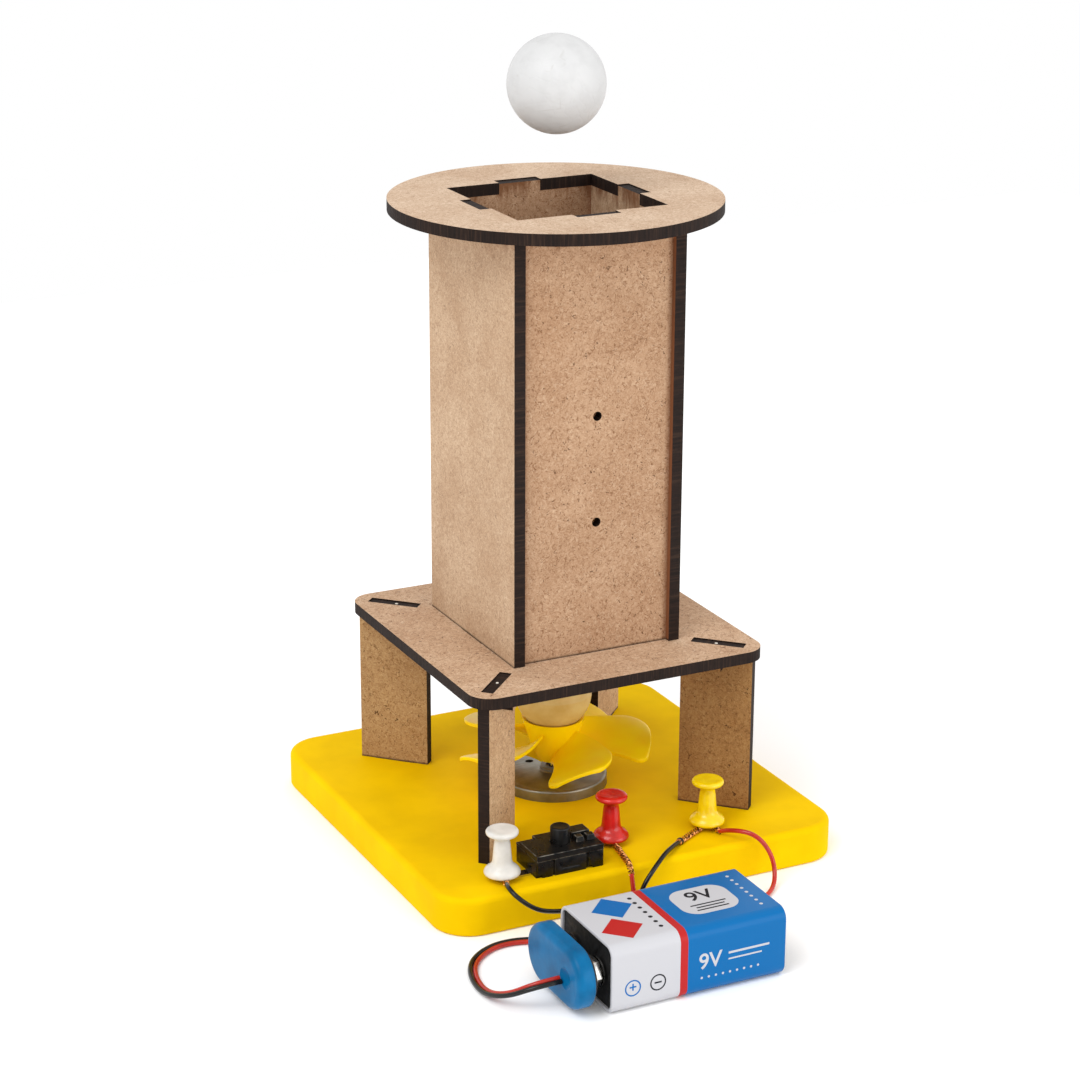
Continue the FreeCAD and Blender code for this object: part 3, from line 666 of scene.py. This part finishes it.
def makeFan():
    bm = bmesh.new()
    bmesh.ops.create_grid(bm, x_segments=26, y_segments=14, size=1.0)
    rootReach, _, tipReach = fan["reaches"]
    for vert in bm.verts:
        along = 1 - (1 - (vert.co.x + 1) / 2) ** 1.6
        chord = (vert.co.y + 1) / 2
        reach = rootReach + (tipReach - rootReach) * along
        low = curveThrough(fan["lead"], reach) + cornerLoss(reach, fan["leadRound"])
        high = curveThrough(fan["trail"], reach) - cornerLoss(reach, fan["trailRound"])
        side = low + (high - low) * chord
        bulge = (fan["radius"] - tipReach) * (1 - (side / fan["trail"][-1]) ** 2) * along ** 4
        nearRoot = (1 - along) ** 3
        pitch = radians(fan["tipPitch"] + (fan["rootPitch"] - fan["tipPitch"]) * nearRoot)
        arch = fan["camber"] * 4 * chord * (1 - chord) * along
        height = fan["height"] - fan["rootDrop"] * nearRoot - fan["thickness"] / 2
        vert.co = Vector((reach + bulge, side * cos(pitch) - arch * sin(pitch),
                          height + side * sin(pitch) + arch * cos(pitch))) * mm
    bmesh.ops.solidify(bm, geom=bm.faces[:], thickness=fan["thickness"] * mm)
    mergeAndTurnOut(bm)
    softenEdges(bm, fan["edgeRound"], 3, 50, edgeMaterial=1)
    bmesh.ops.transform(bm, matrix=turned(fan["firstAngle"], "Z"), verts=bm.verts)
    share = 1 / fan["blades"]
    bmesh.ops.spin(bm, geom=bm.verts[:] + bm.edges[:] + bm.faces[:], cent=(0, 0, 0), axis=(0, 0, 1),
                   angle=tau * (1 - share), steps=fan["blades"] - 1, use_duplicate=True)
    bottom, top, foot, rim = [fan[key] for key in ("hubBottom", "hubTop", "hubFoot", "hubRim")]
    flare = [(foot + (rim - foot) * (i / 8) ** 0.85, bottom + (top - bottom) * i / 8) for i in range(9)]
    seatAngle = -degrees(acos(fan["seatRadius"] / nose["radius"]))
    cup = arcPoints((0, nose["height"]), nose["radius"] + 0.02, seatAngle, -90.0, 8)
    hub = lathe([(0, bottom)] + flare + [(rim - fan["lip"], top)] + cup, (0, 0, 0))
    joinInto(hub, bm)
    # the bevelled rims take the paler copy: a painted highlight along the thin edges
    newPiece("fan_moulded", hub, [fanMaterial("moulded_polypropylene", fan["dark"], fan["light"], 0.12),
                                  fanMaterial("polypropylene_rim_painted_highlight", fan["light"], fan["edge"], 0.2)],
             "fan_rotor", "fan", 40)


nose = {"height": 35.66, "radius": 10.2, "seamRise": 0.05, "pinRadius": 2.0, "pinBottom": 23.5,
        "tones": ("#caa355", "#d6b76f")}


def makeNose():
    # matt cream polystyrene with a faint mould line round the middle
    mat = mottledMaterial("moulded_polystyrene_cream", nose["tones"], 5.0, 0.7, 0.03, 0.3, 3.0, 3.0, Roughness=0.5)
    centre, radius = (0, nose["height"]), nose["radius"]
    low = arcPoints(centre, radius, -78.7, -1.2, 24)
    seam = arcPoints(centre, radius + nose["seamRise"], -0.5, 0.5, 2)
    high = arcPoints(centre, radius, 1.2, 90, 28)
    pin = [(0, nose["pinBottom"]), (nose["pinRadius"], nose["pinBottom"])]
    newPiece("fan_nose_ball", lathe(pin + low + seam + high, (0, 0, 0)), mat, "fan_nose", "fan", 60)


makeFan()
makeNose()
print("fan done")


# push-button switch

switch = {"at": (-21.0, -46.0), "length": 18.5, "depth": 12.0, "coverBottom": 14.4, "top": 16.0,
          "housingRound": 0.22, "coverRound": 0.15, "taper": 0.25, "buttonRadius": 2.5, "buttonPlay": 0.08,
          "buttonTop": 20.2, "body": "#0b0a09", "bodyLight": "#141210", "wornAndHighlight": "#7d766b",
          # boxes measured from the switch's middle, at their real heights: openings in the housing,
          # the cover's low corner, and the raised block in three parts with narrow grooves between
          "openings": [((-2.2, -7.0, 11.5), (2.4, -5.7, 11.75)), ((-10.25, -7.0, 9.0), (-7.65, -5.4, 10.9)),
                       ((4.95, -7.0, 9.0), (6.25, -5.1, 10.7)), ((-10.25, -2.6, 11.2), (-8.55, -1.2, 12.2))],
          "corner": ((-10.25, 3.6, 15.1), (-4.85, 7.0, 17.0)),
          "raised": [((3.3, -2.6, 15.9), (5.6, -0.3, 17.3)), ((6.2, -2.6, 15.9), (8.7, -0.3, 17.3)),
                     ((3.3, 0.3, 15.9), (8.7, 4.6, 17.3))]}


def blackPlastic(name, dark, light, roughness):
    # moulded plastic: black with a low gloss and fine handling haze, edges painted grey in their own copy: partly
    # rubbed wear, partly a painted highlight
    mat = newMaterial(name)
    point = coordinate(mat)
    haze = noiseAt(point, 1.6, 4.0)
    return feed(mat, Base_Color=colourRamp(haze, [(0.4, dark), (0.7, light)]),
                Roughness=remap(haze, 0.35, 0.7, roughness, roughness * 1.7),
                Normal=bumpFrom(noiseAt(point, 0.35, 2.0), 0.01, 0.2), Specular_IOR_Level=0.3)


# the second copy goes on the bevelled edges: painted lighter grey, partly rubbed wear and partly a painted highlight
blackPair = [blackPlastic("moulded_abs_black", switch["body"], switch["bodyLight"], 0.26),
             blackPlastic("abs_edge_wear_and_painted_highlight", switch["bodyLight"], switch["wornAndHighlight"], 0.3)]


def switchBlock(low, high, bm=None):
    x, y = switch["at"]
    return block((x + low[0], y + low[1], low[2]), (x + high[0], y + high[1], high[2]), bm)


def makeSwitch():
    x, y = switch["at"]
    half, deep, top = switch["length"] / 2, switch["depth"] / 2, switch["top"]
    housing = mergedCopy("switch_housing")
    softenEdges(housing, switch["housingRound"], 2, 50, edgeMaterial=1)
    body = newPiece("switch_housing_moulded", housing, blackPair, "switch_housing")
    cuts = bmesh.new()
    for low, high in switch["openings"]:
        switchBlock(low, high, cuts)
    cutAway(body, cuts)
    lid = newPiece("switch_cover_moulded", switchBlock((-half, -deep, switch["coverBottom"]), (half, deep, top)),
                   blackPair, "switch_cover")
    notches = switchBlock(*switch["corner"])
    cylinder(switch["buttonRadius"] + switch["buttonPlay"], 13.0, 17.0, x, y, notches)
    cutAway(lid, notches)
    bm = meshCopy(lid.data)
    for low, high in switch["raised"]:
        part = switchBlock(low, high)
        middle = sum((vert.co for vert in part.verts), Vector()) / len(part.verts)
        for vert in [v for v in part.verts if v.co.z > top * mm]:
            for axis in (0, 1):
                vert.co[axis] += copysign(switch["taper"] * mm, middle[axis] - vert.co[axis])
        joinInto(bm, part)
    bmesh.ops.recalc_face_normals(bm, faces=bm.faces)
    softenEdges(bm, switch["coverRound"], 2, 50, edgeMaterial=1)
    bm.to_mesh(lid.data)
    bm.free()
    radius, top = switch["buttonRadius"], switch["buttonTop"]
    profile = [(0, 13.5), (3.5, 13.5), (3.5, 14.3), (radius, 14.35), (radius, top - 0.45)]
    profile += arcPoints((radius - 0.45, top - 0.45), 0.45, 20, 90, 4)
    profile += [(1.6, top - 0.05), (0, top - 0.18)]
    newPiece("switch_button_moulded", lathe(profile, (x, y, 0), steps=48), blackPair[0],
             "switch_button", "button", 40)


makeSwitch()
dress(["switch_spring", "switch_lug_left", "switch_lug_right"], brightSteel)
print("switch done")


# push pins

pins = {"bottom": 11.4, "total": 12.1, "headRadius": 4.1, "headHeight": 1.6, "neckTop": 1.85, "neckBottom": 2.4,
        "bellRadius": 4.6, "places": {"white": (-37.8, -47.8), "red": (-4.0, -41.0), "yellow": (22.5, -43.5)},
        "tones": {"white": ("#cdc9c1", "#dad6cf"), "red": ("#b01208", "#cc2016"), "yellow": ("#e2be00", "#efce08")}}


def pinMaterial(colour):
    # injection-moulded polystyrene: high gloss, a little light inside, faint flow marks
    return mottledMaterial("moulded_polystyrene_" + colour, pins["tones"][colour], 3.0, 1.0, 0.02, 0.2,
                           Roughness=0.22, Subsurface_Weight=0.2, Subsurface_Radius=(1.0 * mm, 0.8 * mm, 0.6 * mm))


def makePin(colour):
    head, bell, total, neck, slim = [pins[key] for key in
                                     ("headRadius", "bellRadius", "total", "neckBottom", "neckTop")]
    under = total - pins["headHeight"]
    profile = [(0, 0.0), (bell - 0.5, 0.0)] + arcPoints((bell - 0.6, 0.6), 0.6, -60, 20, 4)
    profile += [(bell - 0.12, 1.05), (bell - 0.4, 1.5), (bell - 0.85, 1.95), (bell - 1.35, 2.3), (neck + 0.45, 2.7),
                (neck + 0.22, 3.1), (neck + 0.08, 3.6), (neck, 4.3), (slim + 0.2, under - 2.4),
                (slim, under - 1.3), (slim + 0.2, under - 0.6), (slim + 0.8, under - 0.15), (head - 0.9, under + 0.05)]
    profile += arcPoints((head - 0.75, under + 0.8), 0.75, -70, 75, 8)
    profile += [(head - 1.2, total - 0.02), (head - 2.0, total - 0.1), (0, total - 0.14)]
    x, y = pins["places"][colour]
    newPiece("pin_head_moulded_" + colour, lathe(profile, (x, y, pins["bottom"]), steps=56), pinMaterial(colour),
             "pin_head_" + colour, "pin_" + colour, 45)


for pinColour in pins["places"]:
    makePin(pinColour)
print("pins done")


# nine-volt block battery

battery = {"left": -37.5, "right": 8.9, "front": -105.5, "back": -79.0, "top": 17.5, "corner": 2.9, "skin": 0.05,
           "rim": 0.95, "recess": 0.7, "rimRound": 0.3, "split": 0.385, "stripe": 0.428,
           "boardFace": 0.62, "boardBack": 0.9, "boardCorner": 1.6, "boardLap": 0.1, "boardRound": 0.06,
           "white": "#bbbbbf", "red": "#b02222", "blue": "#0062a0", "dark": "#1b1e24", "ring": "#0c62a4",
           "plusY": -98.65, "minusY": -85.85, "middleZ": 8.75,
           "stud": [(0, 0), (3.4, 0.0), (3.4, 0.35), (2.55, 0.5), (2.5, 1.4), (2.8, 2.0), (2.75, 2.7), (2.4, 3.0),
                    (0, 3.0)]}

crown = {"length": 2.6, "rootRadius": 3.7, "lipRadius": 4.1, "wall": 0.45, "floor": 0.4, "lipRound": 0.16}


def glossPrint(name, code):
    # printed ink under clear varnish: even colour, one clear soft reflection
    mat = newMaterial(name)
    return feed(mat, Normal=bumpFrom(noiseAt(coordinate(mat), 5.0, 2.0), 0.05, 0.15), Base_Color=code,
                Roughness=0.3, Specular_IOR_Level=0.15)


def jacketMaterial():
    # lithographed steel sleeve: white, a thin red band, then blue, all varnished
    mat = glossPrint("lithographed_steel_sleeve", battery["white"])
    alongX = addNode("SeparateXYZ", {0: coordinate(mat)}).outputs["X"]
    share = remap(alongX, battery["left"] * mm, battery["right"] * mm)
    bands = [(0.0, battery["white"]), (battery["split"], battery["red"]), (battery["stripe"], battery["blue"])]
    return feed(mat, Base_Color=colourRamp(share, bands, "CONSTANT"))


def makeBattery():
    skin, left, right = battery["skin"], battery["left"], battery["right"]
    low = (left, battery["front"] + skin, 0.0)
    high = (right, battery["back"] - skin, battery["top"] - skin)
    bm = block(low, high)
    bevelEdges(bm, edgesAlong(bm, 0, 1.0), battery["corner"], 8)
    for face in [f for f in bm.faces if abs(f.normal.x) > 0.9]:
        sinkFace(bm, face, battery["rim"], -copysign(battery["recess"], face.normal.x))
    mergeAndTurnOut(bm)
    softenEdges(bm, battery["rimRound"], 4, 60, lambda e: any(
        all(abs(v.co.x - x * mm) < 0.01 * mm for v in e.verts) for x in (left, right)))
    newPiece("battery_sleeve", bm, jacketMaterial(), "battery_case", "battery")
    # recessed end boards with rounded corners
    face, back = battery["boardFace"], battery["boardBack"]
    inset = battery["rim"] - battery["boardLap"]
    fibre = blackPlastic("pressed_fibre_black", "#0d0d0e", "#1a1a1b", 0.5)
    for name, node, x0, x1 in (("battery_terminal_board", "battery_top_board", left + face, left + back),
                               ("battery_foot_board", "battery_base", right - back, right - face)):
        board = block((x0, low[1] + inset, low[2] + inset), (x1, high[1] - inset, high[2] - inset))
        bevelEdges(board, edgesAlong(board, 0, 0.1), battery["boardCorner"], 5)
        softenEdges(board, battery["boardRound"], 1, 60)
        newPiece(name, board, fibre, node, "battery")


def hexCrown(name, x, y, outward, body, node):
    # pressed socket: a hexagonal cup with a rolled lip
    bm = bmesh.new()
    length = crown["length"]
    bmesh.ops.create_cone(bm, cap_ends=True, segments=6, radius1=crown["rootRadius"] * mm,
                          radius2=crown["lipRadius"] * mm, depth=length * mm,
                          matrix=shift(x + outward * length / 2, y, battery["middleZ"]) @ turned(90, "Y")
                          @ Matrix.Scale(outward, 4, (0, 0, 1)))
    mergeAndTurnOut(bm)
    mouth = max(bm.faces, key=lambda f: f.calc_center_median().x * outward)
    sinkFace(bm, mouth, crown["wall"], -outward * (length - crown["floor"]))
    mergeAndTurnOut(bm)
    softenEdges(bm, crown["lipRound"], 2, 30)
    newPiece(name, bm, brightSteel, node, body)


def rolledStud(name, profile, x, y, outward, body, node):
    stud = lathe(profile, (x, y, battery["middleZ"]), (outward, 0, 0), 40)
    newPiece(name, stud, brightSteel, node, body, 40)


# plain printing, as thin inked shapes: ink, layer, shape, place on the side, sizes
labelThick = 0.04
labelMarks = {
    "top": [("red", 0, "diamond", (-30.6, -97.2), 5.4), ("ring", 0, "diamond", (-28.0, -87.0), 5.4),
            ("dark", 0, "dots", (-21.9, -92.2), (7, 0.0, 2.6, 0.55)),
            ("white", 0, "panel", (-6.2, -92.4), (15.0, 13.0)),
            ("dark", 1, "text", (-6.2, -90.2), ("9V", 6.4)), ("dark", 1, "bar", (-6.2, -94.4), (9.5, 0.5)),
            ("dark", 1, "bar", (-6.2, -95.7), (7.5, 0.5)), ("dark", 1, "bar", (-6.2, -97.0), (8.5, 0.5)),
            ("white", 0, "dots", (4.9, -92.2), (8, 0.0, 2.3, 0.45))],
    "front": [("ring", 0, "ring", (-32.0, 6.2), (2.1, 1.75)), ("ring", 0, "text", (-32.0, 6.25), ("+", 3.6)),
              ("dark", 0, "ring", (-25.4, 6.2), (2.1, 1.75)), ("dark", 0, "bar", (-25.4, 6.2), (1.9, 0.42)),
              ("white", 0, "text", (-11.6, 8.6), ("9V", 5.6)), ("white", 0, "bar", (-1.2, 9.6), (11.0, 0.55)),
              ("white", 0, "bar", (-2.2, 8.0), (9.0, 0.4)), ("white", 0, "dots", (-6.2, 4.6), (9, 1.9, 0.0, 0.3))]}


def lettering(words, size):
    curve = bpy.data.curves.new("lettering", "FONT")
    curve.body = words
    curve.size = size * mm
    curve.extrude = labelThick / 2 * mm
    curve.offset = size * 0.012 * mm
    curve.align_x, curve.align_y = "CENTER", "CENTER"
    holder = linkObject("lettering", curve)
    bm = meshCopy(evaluatedMesh(holder))
    bpy.data.objects.remove(holder)
    mergeAndTurnOut(bm)
    return bm


def markShape(shape, sizes):
    low, high = -labelThick / 2, labelThick / 2
    if shape == "text":
        return lettering(*sizes)
    if shape == "ring":
        outer, inner = sizes
        return lathe([(outer, low), (outer, high), (inner, high), (inner, low)], (0, 0, 0), steps=40, closed=True)
    if shape == "diamond":
        return cylinder(sizes, low, high, 0, 0, segments=4)
    if shape == "dots":
        count, stepX, stepY, radius = sizes
        bm = bmesh.new()
        for index in range(count):
            off = index - (count - 1) / 2
            cylinder(radius, low, high, off * stepX, off * stepY, bm, 20)
        return bm
    bm = block((-sizes[0] / 2, -sizes[1] / 2, low), (sizes[0] / 2, sizes[1] / 2, high))
    if shape == "panel":
        bevelEdges(bm, edgesAlong(bm, 2, high), 4.2, 10)
    return bm


def makePrinting():
    sides = {"top": shift(0, 0, battery["top"] - battery["skin"]),
             "front": shift(0, battery["front"] + battery["skin"], 0) @ turned(90, "X")}
    inks = {}
    for side, marks in labelMarks.items():
        for ink, layer, shape, (across, up), sizes in marks:
            place = sides[side] @ shift(across, up, layer * labelThick / 2)
            joinInto(inks.setdefault(ink, bmesh.new()), markShape(shape, sizes), place)
    for ink, bm in inks.items():
        newPiece("printed_marks_" + ink, bm, glossPrint("printing_ink_" + ink, battery[ink]),
                 body="battery", smoothAngle=30)


makeBattery()
rolledStud("battery_plus_stud_pressed", battery["stud"], battery["left"], battery["plusY"], -1, "battery",
           "battery_plus_stud")
hexCrown("battery_minus_crown_pressed", battery["left"], battery["minusY"], -1, "battery", "battery_minus_crown")
makePrinting()
print("battery done")


# snap connector

snap = {"capLeft": -46.2, "capRight": -41.8, "plateRight": -41.0, "middleY": -92.25, "middleZ": 8.75,
        "length": 28.0, "width": 15.0, "round": 1.6, "innerRound": 0.5, "faceInset": 0.25, "plateInset": 2.4,
        "dimpleY": -98.9, "dimpleRadius": 2.7, "dimpleDepth": 0.8,
        "tones": ("#025480", "#046698"), "board": "#241f1c", "boardLight": "#3a322c",
        "stud": [(0, 0), (3.2, 0.0), (3.2, 0.3), (2.6, 0.45), (2.5, 1.3), (2.85, 1.9), (2.8, 2.5), (2.4, 2.8),
                 (0, 2.8)]}


def vinylMaterial():
    # soft dipped vinyl: bright blue with a waxy sheen, a little light inside and faint dimples
    return mottledMaterial("dipped_vinyl_blue", snap["tones"], 6.0, 1.2, 0.05, 0.3, 3.0, 3.0, Roughness=0.3,
                           Specular_IOR_Level=0.12, Subsurface_Weight=0.12,
                           Subsurface_Radius=(0.4 * mm, 1.0 * mm, 1.6 * mm))


def stadiumBlock(left, right, length, width):
    half = (right - left) / 2
    bm = cylinder(width / 2, -half, half, 0, 0, segments=64)
    bmesh.ops.transform(bm, matrix=turned(90, "Y"), verts=bm.verts)
    for vert in bm.verts:
        if abs(vert.co.y) > 0.001 * mm:
            vert.co.y += copysign((length - width) / 2 * mm, vert.co.y)
    place = shift((left + right) / 2, snap["middleY"], snap["middleZ"])
    bmesh.ops.transform(bm, matrix=place, verts=bm.verts)
    return bm


def makeSnap():
    left, right, length, width, inset = [snap[key] for key in
                                         ("capLeft", "capRight", "length", "width", "plateInset")]
    cap = stadiumBlock(left, right, length, width)
    softenEdges(cap, snap["round"], 6, 60, lambda e: max(v.co.x for v in e.verts) < (left + 0.1) * mm)
    softenEdges(cap, snap["innerRound"], 3, 60)
    flat = [f for f in cap.faces if abs(f.normal.x) > 0.99 and f.calc_area() > (width * mm) ** 2 / 2]
    bmesh.ops.inset_individual(cap, faces=flat, thickness=snap["faceInset"] * mm)
    piece = newPiece("snap_cap_vinyl", cap, vinylMaterial(), "snap_cap", smoothAngle=25)
    radius, depth = snap["dimpleRadius"], snap["dimpleDepth"]
    sphere = (radius ** 2 + depth ** 2) / (2 * depth)
    hollow = bmesh.new()
    bmesh.ops.create_uvsphere(hollow, u_segments=64, v_segments=48, radius=sphere * mm,
                              matrix=shift(left + depth - sphere, snap["dimpleY"], snap["middleZ"]))
    cutAway(piece, hollow, 25)
    plate = stadiumBlock(right, snap["plateRight"], length - inset, width - inset)
    softenEdges(plate, 0.1, 1, 60)
    board = blackPlastic("fibre_contact_board", snap["board"], snap["boardLight"], 0.5)
    newPiece("snap_contact_board", plate, board, "snap_plate")


makeSnap()
hexCrown("snap_socket_pressed", snap["plateRight"], battery["plusY"], 1, "stand", "snap_socket")
rolledStud("snap_stud_pressed", snap["stud"], snap["plateRight"], battery["minusY"], 1, "stand", "snap_stud")
print("snap done")


# bare copper ends

copper = {"strandRadius": 0.18, "twistRadius": 0.64, "pitch": 3.4, "strands": 4, "stepMm": 0.35, "dark": "#3a1a0b",
          "light": "#ffb46c", "seed": 7, "height": 10.95, "lap": 0.3, "wrapRadius": 0.72, "wrapTurns": 3.0,
          "wrapPitch": 0.5, "wrapSteps": 12,
          "bends": {"red_motor": [(-7.8, -58.5, 11.2), (-7.2, -56.4, 11.7), (-6.5, -53.5, 11.2)]},
          # for each wire its pin, its node and the gap to the needle
          "ends": {"black_battery": ("white", "copper_at_white_pin", 0.8),
                   "red_motor": ("red", "copper_at_red_pin", 0.8),
                   "black_motor": ("yellow", "copper_at_yellow_pin_motor", 0.8),
                   "red_battery": ("yellow", "copper_at_yellow_pin_battery", 1.5)},
          "collarReach": 0.6, "collarRadius": 0.42}


def copperMaterial():
    # annealed copper strands: warm metal in random patches, some bright and some browned
    mat = newMaterial("annealed_copper")
    point = coordinate(mat)
    return feed(mat, Base_Color=colourRamp(noiseAt(point, 0.7, 3.0),
                                           [(0.4, copper["dark"]), (0.6, copper["light"])]),
                Roughness=remap(noiseAt(point, 0.4, 3.0), 0.3, 0.7, 0.2, 0.42), Metallic=1.0)


copperMetal = copperMaterial()


def alongPath(path, share):
    lengths = [(b - a).length for a, b in zip(path, path[1:])]
    left = share * sum(lengths)
    for a, b, length in zip(path, path[1:], lengths):
        if left <= length:
            return a.lerp(b, left / length)
        left -= length
    return path[-1]


def strandPiece(name, path, node, wrapped):
    curve = tubeCurve(name, copper["strandRadius"], 3, copperMetal)
    total = sum((b - a).length for a, b in zip(path, path[1:]))
    direction = (path[-1] - path[0]).normalized()
    side = direction.cross(Vector((0, 0, 1))).normalized()
    up = side.cross(direction)
    steps = max(10, int(total / copper["stepMm"]))
    draw = random.Random(copper["seed"])
    for strand in range(copper["strands"]):
        places = []
        for share in [index / steps for index in range(steps + 1)]:
            turn = tau * (total * share / copper["pitch"] + strand / copper["strands"])
            loose = copper["twistRadius"] * (1 + (draw.random() - 0.3) * share / 2)
            places.append(alongPath(path, share) + (side * cos(turn) + up * sin(turn)) * loose)
        addSpline(curve, places)
    if wrapped:
        # the strands are wound back round the insulation's end
        places = []
        for index in range(int(copper["wrapTurns"] * copper["wrapSteps"]) + 1):
            turns = index / copper["wrapSteps"]
            turn = tau * turns
            places.append(path[0] + direction * (turns - copper["wrapTurns"] / 2) * copper["wrapPitch"]
                          + (side * cos(turn) + up * sin(turn)) * copper["wrapRadius"])
        addSpline(curve, places)
    return attach(linkObject(name, curve), node)


def copperEnd(key, colour, node, needleGap):
    x, y = pins["places"][colour]
    start = Vector(wireRoutes[key][-1])
    target = Vector((x, y, copper["height"]))
    bends = [Vector(place) for place in copper["bends"].get(key, [])]
    first = ((bends + [target])[0] - start).normalized()
    last = (target - ([start] + bends)[-1]).normalized()
    path = [start - first * copper["lap"]] + bends + [target - last * needleGap]
    return strandPiece("copper_strands_" + node.replace("copper_at_", ""), path, node, key == "black_motor")


def makeCollar():
    # the black insulation is pushed back into a thick ring where it was stripped
    route = wireRoutes["black_motor"]
    direction = (Vector(route[-1]) - Vector(route[-2])).normalized()
    profile = arcPoints((copper["collarReach"], 0.0), copper["collarRadius"], 0, 330, 11)
    newPiece("insulation_collar_black_motor", lathe(profile, route[-1], direction, 32, closed=True), pvc["black"],
             smoothAngle=80)


makeCollar()
copperEnds = {key: copperEnd(key, *end) for key, end in copper["ends"].items()}
for colour in pvc:
    dress(["motor_lead_" + colour], pvc[colour])
print("copper ends done")
